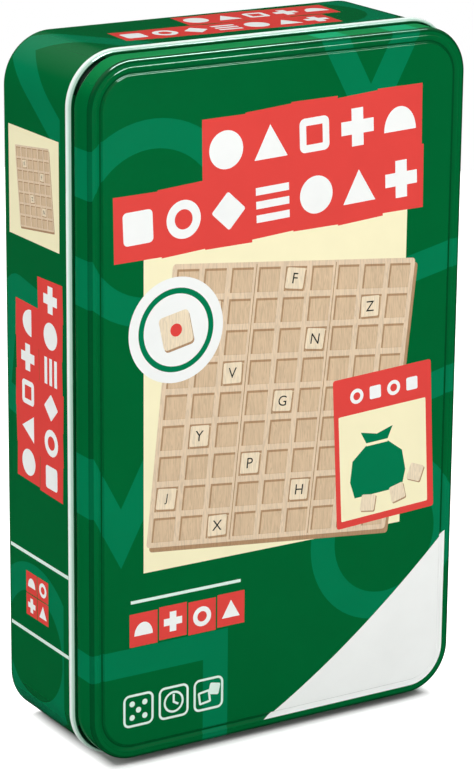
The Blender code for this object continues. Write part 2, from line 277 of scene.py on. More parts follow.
# Plain weave over a flat vector in metres. One output marks the gaps between threads, for painted shade
def weaveGroup():
    g, given = startGroup("weave", {"Threads": 1900.0})
    threads = g.scaled(given["Vector"], given["Threads"])
    x, y = g.axes(threads)[:2]
    over = g.calc("FRACT", (g.calc("FLOOR", x) + g.calc("FLOOR", y)) * 0.5) * 2.0
    warp, weft = (g.calc("ABSOLUTE", g.calc("SINE", axis * math.pi)) for axis in (x, y))
    height = g.calc("MAXIMUM", warp * (over * 0.6 + 0.4), weft * ((1.0 - over) * 0.6 + 0.4))
    return endTree(g, {"Height": height, "GapShade": g.mapRange(height, 0.0, 0.35, 1.0, 0.0),
                       "Slub": g.noise(threads, (0.04, 1.0, 1.0), 2.0)})


# Uneven rubbing along edges that a mesh marks with its edge attribute
def edgeWearGroup():
    g, given = startGroup("edgeWear", {"Edge": 0.0, "Amount": 0.5})
    rubbed = g.mapRange(g.noise(given["Vector"], 260.0, 5.0, 0.65), 0.40, 0.72)
    return endTree(g, {"Mask": given["Edge"] * rubbed * given["Amount"]})


# Soft unevenness of a finish, with rare small specks of dust
def unevenGroup():
    g, given = startGroup("uneven", {"Scale": 60.0})
    spot, scale = given["Vector"], given["Scale"]
    specks = g.mapRange(g.noise(spot, scale * 22.0, 1.0), 0.74, 0.80)
    fine = g.noise(spot, scale * 9.0, 2.0)
    return endTree(g, {"Cloud": g.noise(spot, scale, 3.0, 0.55), "Specks": specks, "Fine": fine})


woodGrain, weave, edgeWear, uneven = woodGrainGroup(), weaveGroup(), edgeWearGroup(), unevenGroup()


def startMaterial(name, fixed):
    material = bpy.data.materials.new(name)
    material.use_nodes = True
    g = Graph(material.node_tree)
    for key, value in fixed.items():
        g.tree.nodes["Principled BSDF"].inputs[key].default_value = value
    return material, g, g.shade("TexCoord", None, "Object")


def endMaterial(material, g, colour, rough, height, strength, distance, metallic=None):
    shader = g.tree.nodes["Principled BSDF"].inputs
    bump = g.shade("Bump", {"Height": height, "Strength": strength, "Distance": distance})
    values = {"Base Color": colour, "Roughness": rough, "Metallic": metallic, "Normal": bump}
    for key, value in values.items():
        if value is not None:
            g.join(value, shader[key])
    return material


def wornEdge(g, spot, amount):
    return g.group(edgeWear, spot, {"Edge": g.attribute("edge"), "Amount": amount})["Mask"]


# Print on tinplate. The top of the lid's skirt is duller, and painted lighter as painted light
tinPrint = {
    "skirtStart": (0.0009, 0.0016),
    "skirtEnd": (0.0078, 0.0082),
    "skirtPaintedLight": 1.75,
    "skirtRougher": 0.50,
    "rubbed": (0.50, 0.51, 0.50, 1),
}


def printedTinMaterial(name, shine):
    material, g, spot = startMaterial(name, {"Specular IOR Level": shine})
    soft = g.group(uneven, spot, {"Scale": 55.0})
    x, y, z = g.axes(spot)
    wood = g.group(woodGrain, g.vector(z, x + y, y), {"Scale": 1500.0})
    light = g.mapRange(wood["Grain"], 0.2, 0.8, 0.80, 1.04)
    shade = (g.attribute("grain") * (light - 1.0) + 1.0) * g.spread(soft["Cloud"], 0.975, 1.02)
    depth = y - front
    skirt = g.mapRange(depth, *tinPrint["skirtStart"]) * g.mapRange(depth, *tinPrint["skirtEnd"], 1.0, 0.0)
    # Where the skirt faces up it is made rougher and painted lighter, as painted light
    dullLitTop = skirt * g.mapRange(g.axes(g.shade("TexCoord", None, "Normal"))[2], 0.3, 1.0)
    shade = shade * g.mapRange(dullLitTop, 0.0, 1.0, 1.0, tinPrint["skirtPaintedLight"])
    worn = wornEdge(g, spot, 0.55)
    colour = g.mixColour(worn, g.scaled(g.attribute("ink", "Color"), shade), tinPrint["rubbed"])
    rough = g.spread(soft["Fine"], 0.07, 0.11) + dullLitTop * tinPrint["skirtRougher"] + soft["Specks"] * 0.10
    return endMaterial(material, g, colour, rough, soft["Fine"], 0.015, 0.0002, worn * 0.8)


def bareTinMaterial():
    material, g, spot = startMaterial("bareTin", {"Metallic": 0.5})
    soft = g.group(uneven, spot, {"Scale": 70.0})
    rolled = g.noise(spot, (900.0, 900.0, 14.0), 4.0, 0.6)
    plain = g.mixColour(g.spread(rolled, 0.0, 1.0), "tinDull", "tinPale")
    colour = g.mixColour(wornEdge(g, spot, 0.6), plain, "tinRubbed")
    rough = g.spread(rolled, 0.24, 0.40) + g.mapRange(soft["Cloud"], 0.35, 0.65, 0.0, 0.08)
    return endMaterial(material, g, colour, rough, rolled, 0.10, 0.0001)


# Wood with its grain along z. Faces that look along y are sanded, and the rest are cut edges
def woodMaterial(name, scale, plies=0.0):
    material, g, spot = startMaterial(name, {"Specular IOR Level": 0.3})
    pale, deep, cut = (inks[name + tone] for tone in ("Pale", "Deep", "Cut"))
    x, y, z = g.axes(spot)
    wood = g.group(woodGrain, g.vector(z, x, y * 3.0), {"Scale": scale})
    fine = g.group(uneven, spot, {"Scale": 40.0})["Fine"]
    face = g.mixColour(g.mapRange(wood["Grain"], 0.25, 0.80), linear(deep), linear(pale))
    face = g.mixColour(wood["Pores"] * 0.45, face, linear(deep, 0.72))
    if plies:
        band = g.calc("GREATER_THAN", g.calc("FRACT", y * plies), 0.5)
        side = g.mixColour(band, linear(cut), linear([(a + b) / 2 for a, b in zip(cut, pale)]))
        side = g.mixColour(g.spread(fine, 0.0, 0.35), side, linear(cut, 0.8))
    else:
        side = g.mixColour(g.spread(fine, 0.0, 0.5), linear(cut), linear(deep))
    facing = g.calc("ABSOLUTE", g.axes(g.shade("TexCoord", None, "Normal"))[1])
    colour = g.mixColour(g.mapRange(facing, 0.35, 0.65, 1.0, 0.0), face, side)
    rough = g.mapRange(wood["Grain"], 0.2, 0.8, 0.62, 0.48)
    return endMaterial(material, g, colour, rough, wood["Height"], 0.22, 0.00012)


def tileMaterial():
    material, g, spot = startMaterial("tileWood", {"Specular IOR Level": 0.35})
    x, y, z = g.axes(spot)
    wood = g.group(woodGrain, g.vector(x, z, y * 2.0), {"Scale": 420.0})
    light = g.mapRange(wood["Grain"], 0.2, 0.8, 0.80, 1.05) - wood["Pores"] * 0.16 - wornEdge(g, spot, 0.22)
    colour = g.scaled(g.attribute("ink", "Color"), g.attribute("grain") * (light - 1.0) + 1.0)
    rough = g.mapRange(wood["Grain"], 0.2, 0.8, 0.52, 0.40)
    return endMaterial(material, g, colour, rough, wood["Height"], 0.15, 0.0001)


def nickelMaterial():
    material, g, spot = startMaterial("magnetNickel", {"Metallic": 0.5})
    fine = g.group(uneven, spot, {"Scale": 180.0})["Fine"]
    colour = g.mixColour(wornEdge(g, spot, 0.5), "nickel", "nickelRubbed")
    return endMaterial(material, g, colour, g.spread(fine, 0.12, 0.30), fine, 0.06, 0.0001)


def paperMaterial():
    material, g, spot = startMaterial("leafletPaper", {"Specular IOR Level": 0.3})
    soft = g.group(uneven, spot, {"Scale": 30.0})
    fibre = g.noise(spot, (2400.0, 2400.0, 900.0), 3.0, 0.6)
    shade = g.spread(fibre, 0.965, 1.0) * g.spread(soft["Cloud"], 0.97, 1.0)
    colour = g.scaled(g.attribute("ink", "Color"), shade)
    return endMaterial(material, g, colour, g.spread(fibre, 0.78, 0.90), fibre, 0.10, 0.00008)


fabric = {"Specular IOR Level": 0.2, "Sheen Roughness": 0.5}


def clothMaterial():
    material, g, spot = startMaterial("bagCloth", {**fabric, "Sheen Weight": 0.25})
    cloth = g.group(weave, g.shade("UVMap", uv_map="cloth"), {"Threads": 1700.0})
    soft = g.group(uneven, spot, {"Scale": 50.0})
    colour = g.mixColour(g.mapRange(cloth["Slub"], 0.3, 0.75), "clothDeep", "clothPale")
    # The gaps between threads are painted darker, as painted shade
    colour = g.mixColour(cloth["GapShade"] * 0.55, colour, "clothGapShade")
    colour = g.mixColour(g.mapRange(soft["Cloud"], 0.4, 0.75, 0.0, 0.25), colour, "clothCloud")
    rough = g.mapRange(cloth["Height"], 0.0, 1.0, 0.98, 0.84)
    return endMaterial(material, g, colour, rough, cloth["Height"], 0.5, 0.00018)


def threadMaterial(name):
    material, g, spot = startMaterial(name, {**fabric, "Sheen Weight": 0.3})
    fibre = g.noise(spot, 4200.0, 3.0, 0.65)
    soft = g.group(uneven, spot, {"Scale": 120.0})
    colour = g.mixColour(g.spread(fibre, 0.0, 1.0), name + "Deep", name + "Pale")
    colour = g.mixColour(g.mapRange(soft["Cloud"], 0.4, 0.7, 0.0, 0.2), colour, name + "Deep")
    return endMaterial(material, g, colour, g.spread(fibre, 0.94, 0.82), fibre, 0.35, 0.0001)


# Flat outlines for print. Each shape is (ink, contours), and a contour inside another is a hole

def pairs(loop):
    return zip(loop, loop[1:] + loop[:1])


def moved(points, x, z, turn=0):
    c, s = math.cos(math.radians(turn)), math.sin(math.radians(turn))
    return [(x + c * px - s * pz, z + s * px + c * pz) for px, pz in points]


# Points round a rounded rectangle, each with how far into a corner it lies
def roundedLoop(width, height, radius, steps):
    points = []
    for sideX, sideZ, quarter in ((1, 1, 0), (-1, 1, 1), (-1, -1, 2), (1, -1, 3)):
        for step in range(steps + 1):
            share = step / max(steps, 1)
            turn = (quarter + share) * math.pi / 2
            corner = math.sin(math.pi * share) ** 2
            points.append((sideX * (width / 2 - radius) + radius * math.cos(turn),
                           sideZ * (height / 2 - radius) + radius * math.sin(turn), corner))
    return points


def rectangle(x, z, width, height, turn=0, corner=0):
    reach = min(corner, width / 2, height / 2)
    loop = roundedLoop(width, height, reach, 5 if reach else 0)
    return moved([(px, pz) for px, pz, share in loop], x, z, turn)


def disc(x, z, radius, steps=40):
    turns = [2 * math.pi * i / steps for i in range(steps)]
    return [(x + radius * math.cos(turn), z + radius * math.sin(turn)) for turn in turns]


def ring(x, z, radius, stroke, steps=64):
    return [disc(x, z, radius, steps), disc(x, z, radius - stroke, steps)]


def outlined(x, z, width, height, stroke, turn=0, corner=0):
    return [rectangle(x, z, width, height, turn, corner),
            rectangle(x, z, width - 2 * stroke, height - 2 * stroke, turn, max(corner - stroke, 0))]


def strokeLine(points, width):
    ways = [(Vector(b) - Vector(a)).normalized() for a, b in zip(points, points[1:])]
    left, right = [], []
    for i, point in enumerate(points):
        near = ways[max(i - 1, 0):i + 1]
        way = sum(near, Vector((0, 0))).normalized()
        side = Vector((-way.y, way.x)) * (width / 2 / max(abs(way.dot(near[0])), 0.35))
        left.append(tuple(Vector(point) + side))
        right.append(tuple(Vector(point) - side))
    return left + right[::-1]


def area(contour):
    return sum(a[0] * b[1] - b[0] * a[1] for a, b in pairs(contour)) / 2


# Keeps the part of a contour that lies inside a convex loop
def clipped(contour, loop):
    kept = contour
    for start, end in pairs(loop):
        a, b = Vector(start), Vector(end)
        if (b - a).length < 1e-9 or not kept:
            continue
        inward = Vector((a.y - b.y, b.x - a.x))
        gaps = [inward.dot(Vector(p) - a) for p in kept]
        if min(gaps) >= 0:
            continue
        made = []
        for (p, here), (q, there) in pairs(list(zip(kept, gaps))):
            if here >= 0:
                made.append(p)
            if (here >= 0) != (there >= 0):
                made.append(tuple(Vector(p).lerp(Vector(q), here / (here - there))))
        kept = made
    return kept


glyphStore = {}


# Outlines of a letter in Blender's own font, one unit high and centred
def glyph(text):
    if text in glyphStore:
        return glyphStore[text]
    curve = bpy.data.curves.new("glyph", "FONT")
    curve.body = text
    curve.resolution_u = 4
    thing = addPiece("glyph", curve)
    mesh = bpy.data.meshes.new_from_object(thing.evaluated_get(bpy.context.evaluated_depsgraph_get()))
    bpy.data.objects.remove(thing)
    bpy.data.curves.remove(curve)
    bm = bmesh.new()
    bm.from_mesh(mesh)
    bpy.data.meshes.remove(mesh)
    bmesh.ops.remove_doubles(bm, verts=bm.verts, dist=1e-5)
    edges = [e for e in bm.edges if e.is_boundary]
    contours = []
    while edges:
        start, here = edges.pop().verts
        contour = [start.co.xy.to_tuple()]
        while here != start:
            contour.append(here.co.xy.to_tuple())
            onward = next(e for e in here.link_edges if e in edges)
            edges.remove(onward)
            here = onward.other_vert(here)
        contours.append(contour)
    bm.free()
    xs, zs = zip(*(point for contour in contours for point in contour))
    x, z, size = (min(xs) + max(xs)) / 2, (min(zs) + max(zs)) / 2, max(zs) - min(zs)
    glyphStore[text] = [[((px - x) / size, (pz - z) / size) for px, pz in contour] for contour in contours]
    return glyphStore[text]


def letter(text, x, z, size, turn=0):
    return [moved([(px * size, pz * size) for px, pz in contour], x, z, turn) for contour in glyph(text)]


# Plain shapes in place of lettering
def mark(kind, x, z, size, turn=0):
    half = size / 2
    if kind == "disc":
        return [disc(x, z, half)]
    if kind == "ring":
        return ring(x, z, half, size * 0.24)
    if kind == "square":
        return [rectangle(x, z, size * 0.86, size * 0.86, turn, size * 0.12)]
    if kind == "frame":
        return outlined(x, z, size * 0.9, size * 0.9, size * 0.2, turn, size * 0.16)
    if kind == "diamond":
        return [rectangle(x, z, size * 0.72, size * 0.72, turn + 45, size * 0.06)]
    if kind == "bars":
        spots = moved([(0, -0.36 * size), (0, 0), (0, 0.36 * size)], x, z, turn)
        return [rectangle(*spot, size, size * 0.2, turn) for spot in spots]
    if kind == "triangle":
        points = [(-1, -0.84), (1, -0.84), (0, 0.92)]
    elif kind == "cross":
        points = [(0.36, 1), (-0.36, 1), (-0.36, 0.36), (-1, 0.36), (-1, -0.36), (-0.36, -0.36),
                  (-0.36, -1), (0.36, -1), (0.36, -0.36), (1, -0.36), (1, 0.36), (0.36, 0.36)]
    else:
        turns = [math.pi * i / 20 for i in range(21)]
        points = [(math.cos(a), 1.3 * math.sin(a) - 0.6) for a in turns]
    return [moved([(half * px, half * pz) for px, pz in points], x, z, turn)]


# A printed face. Shapes are given in millimetres, and place turns those into the patch's own metres
class Page:
    def __init__(self, place):
        self.place = place
        self.shapes = []

    def fill(self, ink, *contours):
        self.shapes.append((ink, [[self.place(x, z) for x, z in contour] for contour in contours]))

    def block(self, ink, *values):
        self.fill(ink, rectangle(*values))

    def line(self, ink, points, width):
        self.fill(ink, strokeLine(points, width))

    def mark(self, ink, *values):
        self.fill(ink, *mark(*values))

    # A red band cut from slightly tilted slips, one for each white mark
    def slipBand(self, x, z, size, turn, marks, tilt=1.6):
        step = size * 0.98
        spots = moved([((i - (len(marks) - 1) / 2) * step, 0) for i in range(len(marks))], x, z, turn)
        for i, spot in enumerate(spots):
            lean = tilt if i % 2 else -tilt
            self.block("red", *spot, step * 1.06, size * (1.26 + 0.05 * (i % 3)), turn + lean)
        for spot, kind in zip(spots, marks):
            self.mark("white", kind, *spot, size * 0.74, turn)

    # A wooden playing board seen from above, with loose tiles in some cells
    def board(self, x, z, pitch, columns, rows, turn, tiles):
        def drawn(ink, column, row, size, right=0.0, up=0.0, tilt=turn, corner=0.0, height=None):
            across, along = column - (columns - 1) / 2 + right, (rows - 1) / 2 - row + up
            spot = moved([(across * pitch, along * pitch)], x, z, turn)[0]
            self.block(ink, *spot, pitch * size, pitch * (height or size), tilt, pitch * corner)
            return spot

        width, height = columns * pitch + pitch * 0.14, rows * pitch + pitch * 0.14
        self.block("woodEdge", x + pitch * 0.10, z - pitch * 0.16, width, height, turn, pitch * 0.12)
        self.block("woodFace", x, z, width, height, turn, pitch * 0.12)
        for column in range(columns):
            for row in range(rows):
                drawn("woodEdge", column, row, 0.80)
                drawn("woodCell", column, row, 0.73, 0.03, -0.035, height=0.72)
        for column in range(3, columns, 3):
            reach = ((column - columns / 2) * pitch, rows / 2 * pitch)
            self.line("woodEdge", moved([reach, (reach[0], -reach[1])], x, z, turn), pitch * 0.03)
        for i, (column, row, text) in enumerate(tiles):
            tilt = turn + 5 * math.sin(3 * i + 1)
            drawn("woodEdge", column, row, 0.70, 0.03, -0.05, tilt, 0.05)
            spot = drawn("woodTile", column, row, 0.68, -0.01, 0.01, tilt, 0.05)
            self.fill("black", *letter(text, *spot, pitch * 0.34, tilt))


# Triangulates a flat outline round the guides and shapes. Each triangle takes the topmost shape's ink
def inkedPatch(outline, guides, shapes, limit, ground="ground"):
    points, edges, faces, owners = [], [], [], []

    def add(contour, owner):
        first = len(points)
        points.extend(Vector(p) for p in (contour if area(contour) > 0 else contour[::-1]))
        faces.append(list(range(first, len(points))))
        owners.append(owner)

    add(outline, -1)
    for guide in guides:
        first = len(points)
        points.extend(Vector(p) for p in guide)
        edges.extend((first + i, first + (i + 1) % len(guide)) for i in range(len(guide)))
    for index, (ink, contours) in enumerate(shapes):
        for contour in contours:
            kept = clipped(contour, limit)
            if len(kept) > 2 and abs(area(kept)) > 1e-10:
                add(kept, index)
    verts, _, triangles, _, _, origins = delaunay_2d_cdt(points, edges, faces, 0, 1e-7)
    made = []
    for triangle, origin in zip(triangles, origins):
        held = [owners[i] for i in origin]
        if -1 in held:
            shown = [i for i in set(held) if i >= 0 and held.count(i) % 2]
            made.append((triangle, shapes[max(shown)][0] if shown else ground))
    return verts, made


def stripOutline(runs, low, high):
    return [(run, low) for run in runs] + [(run, high) for run in reversed(runs)]


# Prints a strip that is bent at each of the runs along it, all but a margin at its edge
def stripPatch(runs, low, high, margin, shapes, ground="ground"):
    outline = stripOutline(runs, low, high)
    guides = [[(run, low), (run, high)] for run in runs[1:-1]]
    start, end, low, high = margin, runs[-1] - margin, low + margin, high - margin
    limit = [(start, low), (end, low), (end, high), (start, high)]
    return inkedPatch(outline, guides, shapes, limit, ground)


# Finds the step of the runs in which a place lies, and how far along that step it is
def located(runs, run):
    i = max(j for j in range(len(runs) - 1) if runs[j] <= max(run, 0) + 1e-9)
    return i, min(max((run - runs[i]) / max(runs[i + 1] - runs[i], 1e-9), 0), 1)


def running(points):
    runs = [0]
    for a, b in zip(points, points[1:]):
        runs.append(runs[-1] + math.dist(a, b))
    return runs


# Meshes whose faces carry ink

def inkedMesh():
    bm = bmesh.new()
    bm.loops.layers.float_color.new("ink")
    bm.loops.layers.float.new("grain")
    bm.loops.layers.float.new("edge")
    return bm


def paint(bm, face, ink, slot=0, edge=0.0):
    face.material_index = slot
    face.smooth = True
    colour = linear(inks[ink])
    layers = bm.loops.layers
    for loop in face.loops:
        loop[layers.float_color["ink"]] = colour
        loop[layers.float["grain"]] = 1.0 if "wood" in ink.lower() else 0.0
        loop[layers.float["edge"]] = edge


def addPatch(bm, patch, spot):
    verts, triangles = patch
    made = [bm.verts.new(spot(v)) for v in verts]
    for triangle, ink in triangles:
        paint(bm, bm.faces.new([made[i] for i in triangle]), ink)
    bmesh.ops.delete(bm, geom=[v for v in made if not v.link_faces], context="VERTS")


# A band of faces between two loops of vertices
def bridged(bm, last, loop):
    return [bm.faces.new((a, b, d, c)) for (a, c), (b, d) in pairs(list(zip(last, loop)))]


# Sweeps a section round a loop. Each stretch is (points, ink, material slot, edge), and a point is
# an inset, a depth and how far the depth moves forward in the middle of a corner. A list of inks
# has one for each step of the loop. One cap closes the end, and two close the start as well
def addSweep(bm, loopAt, stretches, height, caps=0):
    last = None
    for points, ink, slot, edge in stretches:
        for inset, depth, *lift in points:
            rise = lift[0] if lift else 0
            loop = [bm.verts.new((x, depth - rise * corner, z + height)) for x, z, corner in loopAt(inset)]
            if last:
                for i, face in enumerate(bridged(bm, last, loop)):
                    paint(bm, face, ink if isinstance(ink, str) else ink[i], slot, edge)
            elif caps > 1:
                paint(bm, bm.faces.new(loop), ink, slot)
            last = loop
    if caps:
        paint(bm, bm.faces.new(last), ink, slot)


def arc(inset, depth, radius, start, end, steps):
    turns = [math.radians(start + (end - start) * i / steps) for i in range(steps + 1)]
    return [(inset + radius * math.cos(turn), depth + radius * math.sin(turn)) for turn in turns]


def eased(start, end, steps):
    made = []
    for share in (i / steps for i in range(steps + 1)):
        rise = share * share * (3 - 2 * share)
        made.append((start[0] + (end[0] - start[0]) * share, start[1] + (end[1] - start[1]) * rise))
    return made


def addPiece(name, data, materials=()):
    made = bpy.data.objects.new(name, data)
    scene.collection.objects.link(made)
    for material in materials:
        data.materials.append(material)
    return made


def closeMesh(name, bm, materials, sharpDegrees=38):
    bmesh.ops.remove_doubles(bm, verts=bm.verts, dist=2e-6)
    bmesh.ops.recalc_face_normals(bm, faces=bm.faces)
    mesh = bpy.data.meshes.new(name)
    bm.to_mesh(mesh)
    bm.free()
    mesh.shade_smooth()
    mesh.set_sharp_from_angle(angle=math.radians(sharpDegrees))
    return addPiece(name, mesh, materials)


def dress(piece, body, slot, *nodes):
    if nodes:
        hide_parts(*nodes)
    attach(piece, body)


# Ends a Geometry Nodes tree with one plain mesh of one material
def endGeometry(g, geometry, material):
    real = g.geo("RealizeInstances", {0: geometry})
    made = g.geo("SetMaterial", {"Geometry": real, "Material": material})
    return endTree(g, {"Geometry": made}, "NodeSocketGeometry")


# Runs a tree on a source object and keeps the result as a plain mesh
def runTree(tree, source, inputs):
    modifier = source.modifiers.new("nodes", "NODES")
    modifier.node_group = tree
    for item in tree.interface.items_tree:
        if item.in_out == "INPUT" and item.name in inputs:
            modifier[item.identifier] = inputs[item.name]
    graph = bpy.context.evaluated_depsgraph_get()
    result = source.evaluated_get(graph)
    mesh = bpy.data.meshes.new_from_object(result, preserve_all_data_layers=True, depsgraph=graph)
    bpy.data.objects.remove(source)
    return mesh


def curveThrough(name, points, closed=False):
    curve = bpy.data.curves.new(name, "CURVE")
    curve.dimensions = "3D"
    spline = curve.splines.new("POLY")
    spline.points.add(len(points) - 1)
    for point, place in zip(spline.points, points):
        point.co = (*place, 1)
    spline.use_cyclic_u = closed
    return addPiece(name, curve)


# Case: sizes that the wall and the lid share
tin = {
    "width": 0.120,
    "height": 0.196,
    "corner": 0.014,
    "sheet": 0.0003,
    "cornerSteps": 22,
    "beadWidth": 0.0026,
    "beadProud": 0.0008,
    "beadEdgeShadeWidth": 0.0002,       # width of the painted shade line between the bead and the step behind the lid
    "neckInset": 0.00155,
    "neckPrint": 0.0005,      # how far the print turns onto the neck
    "mouthCurl": 0.0011,
    "mouthClearance": 0.0009,
    "rimRadius": 0.0009,
    "rimLip": 0.0015,
    "printMargin": 0.0005,
    "toneMargin": 0.0034,     # bare of pale shapes, behind the bead
    "lidDrop": 0.0083,
}
halfWide, halfHigh = tin["width"] / 2, tin["height"] / 2
flatWide, flatHigh = halfWide - tin["corner"], halfHigh - tin["corner"]


def caseLoop(inset):
    width, height = tin["width"] - 2 * inset, tin["height"] - 2 * inset
    return roundedLoop(width, height, tin["corner"] - inset, tin["cornerSteps"])


def flatLoop(inset):
    return [(x, z) for x, z, corner in caseLoop(inset)]


upperMarks = ("disc", "triangle", "frame", "cross", "half")
lowerMarks = ("square", "ring", "diamond", "bars", "disc", "triangle", "cross")


def lidPrint():
    page = Page(lambda x, z: (x * mm, z * mm - middle))
    page.fill("tone", *ring(-40, 152, 28, 8))
    page.fill("tone", *outlined(50, 112, 50, 44, 8, 12, 14))
    page.line("tone", [(-66, 96), (-50, 66), (-34, 96), (-18, 66)], 8)
    page.fill("tone", *ring(36, 52, 25, 8))
    page.line("tone", [(-60, 30), (-20, 30), (-20, -6)], 8)
    page.line("tone", [(14, 200), (28, 174), (42, 200)], 8)
    # A painted shade line round the floor of the lid's groove, over the pale shapes
    page.shapes.append(("deep", [flatLoop(lid["grooveShadeInset"] + width) for width in (0, lid["grooveShadeWidth"])]))

    page.block("cream", -1, 101, 84, 92)
    page.block("cream", 14, 150, 54, 46)
    page.board(1, 97, 8.6, 9, 9, -6, (
        (1, 1, "K"), (4, 0, "F"), (7, 1, "Z"), (5, 2, "N"), (2, 3, "V"), (4, 4, "G"), (1, 5, "Y"),
        (3, 6, "P"), (5, 7, "H"), (7, 4, "U"), (0, 7, "J"), (2, 8, "X")))
    page.slipBand(10, 170.5, 14.2, 2.5, upperMarks)
    page.slipBand(-3, 153.2, 14.2, 2.5, lowerMarks)

    # White badge with a tile in a ring
    page.fill("white", disc(-33, 122, 14.6, 64))
    page.fill("tone", *ring(-33, 122, 11.6, 1.6))
    page.block("woodEdge", -32.7, 121.4, 9.4, 9.4, 12, 1.2)
    page.block("woodTile", -33, 122, 9.4, 9.4, 12, 1.2)
    page.mark("red", "disc", -33, 122, 3.6)

    # Red card with a drawn bag and tiles
    page.block("red", 35, 79, 33, 44, 3, 0.8)
    page.block("cream", 35, 74.5, 29.4, 31, 3, 0.4)
    for i in range(4):
        page.mark("white", ("ring", "square")[i % 2], 25.5 + 6.2 * i, 94.6 + 0.33 * i, 4.4, 3)
    side = [(8, -9), (9.4, -4), (8.4, 2), (3.4, 6), (5.4, 10)]
    page.fill("tone", moved([(-x, z) for x, z in side] + [(0, 8.6)] + side[::-1], 33, 74, 3))
    page.line("cream", moved([(-3.6, 6), (3.6, 6)], 33, 74, 3), 0.9)
    for x, z, turn in ((40, 64, 14), (46, 69, -20), (30, 62.6, -8)):
        page.block("woodEdge", x + 0.3, z - 0.4, 4.8, 4.8, turn, 0.5)
        page.block("woodTile", x, z, 4.8, 4.8, turn, 0.5)

    # Four red blocks, and three outlined signs: a die, a dial and a pair of tiles
    for i, kind in enumerate(("half", "cross", "ring", "triangle")):
        spot = (-43 + 9.3 * i, 39 + 0.4 * (i % 2))
        page.block("red", *spot, 8.8, 9.6)
        page.mark("white", kind, *spot, 5.8)
    page.line("mint", [(-47, 47.2), (-12, 47.2)], 0.9)
    for i in range(3):
        page.fill("mint", *outlined(-44.6 + 11.2 * i, 15.6, 9.6, 9.6, 0.7, 0, 1.9))
    for x, z in ((-2, -2), (-2, 2), (0, 0), (2, -2), (2, 2)):
        page.fill("mint", disc(-44.6 + x, 15.6 + z, 0.85, 20))
    page.fill("mint", *ring(-33.4, 15.6, 3.2, 0.65))
    page.line("mint", [(-33.4, 17.9), (-33.4, 15.6), (-31.9, 14.7)], 0.65)
    page.fill("mint", *outlined(-23.5, 14.8, 3.9, 3.9, 0.65, 8, 0.5))
    page.block("mint", -20.3, 16.8, 3.4, 3.4, -12, 0.5)

    # White corner, cut off by a shallow arc
    sweep = [(step * 3.5 - 10, 0.7 + step * 1.75 + step * step * 0.0425) for step in range(21)]
    corner = [page.place(x, z) for x, z in sweep + [(62, 52), (62, 0)]]
    page.shapes.append(("white", [clipped(corner, flatLoop(lid["cornerInset"]))]))
    return page.shapes


# The wall's print runs round the outline. Each wall's page has x to the viewer's right
def wallPrint(runs, beadBack):
    steps = tin["cornerSteps"]
    topRun, leftRun, bottomRun, rightRun = (runs[(steps + 1) * i + steps] for i in range(4))
    top = Page(lambda x, y: (topRun + flatWide - x * mm, y * mm))
    left = Page(lambda x, z: (leftRun + flatHigh - (z * mm - middle), -x * mm))
    bottom = Page(lambda x, y: (bottomRun + flatWide + x * mm, -y * mm))
    right = Page(lambda x, z: (rightRun + flatHigh + (z * mm - middle), x * mm))

    tones = Page(lambda run, y: (run * mm, y * mm))
    for i in range(7):
        start = 40 + 84 * i
        tones.fill("tone", *(
            ring(start, 8, 24, 8),
            [strokeLine([(start - 26, -16), (start, 20), (start + 26, -16)], 8)],
            outlined(start, 9, 40, 34, 8, 10, 8))[i % 3])
    low, end = beadBack + tin["toneMargin"], runs[-1] - mm
    span = [(mm, low), (end, low), (end, back), (mm, back)]
    toned = []
    for ink, contours in tones.shapes:
        inside = [clipped(contour, span) for contour in contours]
        toned.append((ink, [contour for contour in inside if len(contour) > 2]))

    tiles = ((1, 1, "K"), (4, 2, "F"), (2, 4, "Z"), (4, 5, "N"))
    for page, side in ((left, 1), (right, -1)):
        page.block("cream", -6 * side, 158, 28, 30)
        page.board(-5.6 * side, 158, 3.1, 6, 7, 7 * side, tiles)
        page.slipBand(-10.4 * side, 100, 10.2, 90, upperMarks)
        page.slipBand(2.6 * side, 104, 10.2, 90, lowerMarks[:5] + lowerMarks[6:])
        page.block("mint", 0, 53.2, 60, 1.05)
        page.block("mint", 0, 30, 60, 1.05)
        for i, kind in enumerate(("half", "ring", "cross", "triangle")):
            spot = (-9.6 * side + 6.5 * (i % 2) * side, 44.8 - 6.6 * (i // 2))
            page.block("red", *spot, 6.2, 6.3)
            page.mark("white", kind, *spot, 4.2)
    top.slipBand(14, 13.6, 9.6, -2.5, upperMarks)
    top.slipBand(-3, 1.4, 9.6, -2.5, lowerMarks)
    bottom.block("white", 26, -3, 30, 16, 0, 1.2)
    for i, kind in enumerate(("half", "ring", "cross")):
        bottom.mark("white", kind, -34 + 12 * i, -3, 7)
    return toned + top.shapes + left.shapes + bottom.shapes + right.shapes


# Lid: flange, pressed groove and raised panel in front, with a hemmed skirt behind
lid = {
    "inset": 0.0007,
    "shoulder": 0.0010,
    "hem": 0.0016,
    "cornerLift": 0.0011,
    "grooveStart": 0.0021,
    "grooveSlope": 0.0014,
    "grooveFloor": 0.0003,
    "grooveRise": 0.0005,
    "grooveDepth": 0.0006,
    "panelDrop": 0.0001,
    "panelMargin": 0.0006,
    "flangeDrop": 0.00016,
    "lipWidth": 0.00020,
    "printInset": 0.00172,
    # Where the painted shade line round the groove's floor lies, and how wide it is
    "grooveShadeInset": 0.0040,
    "grooveShadeWidth": 0.0005,
    "cornerInset": 0.0031,
}


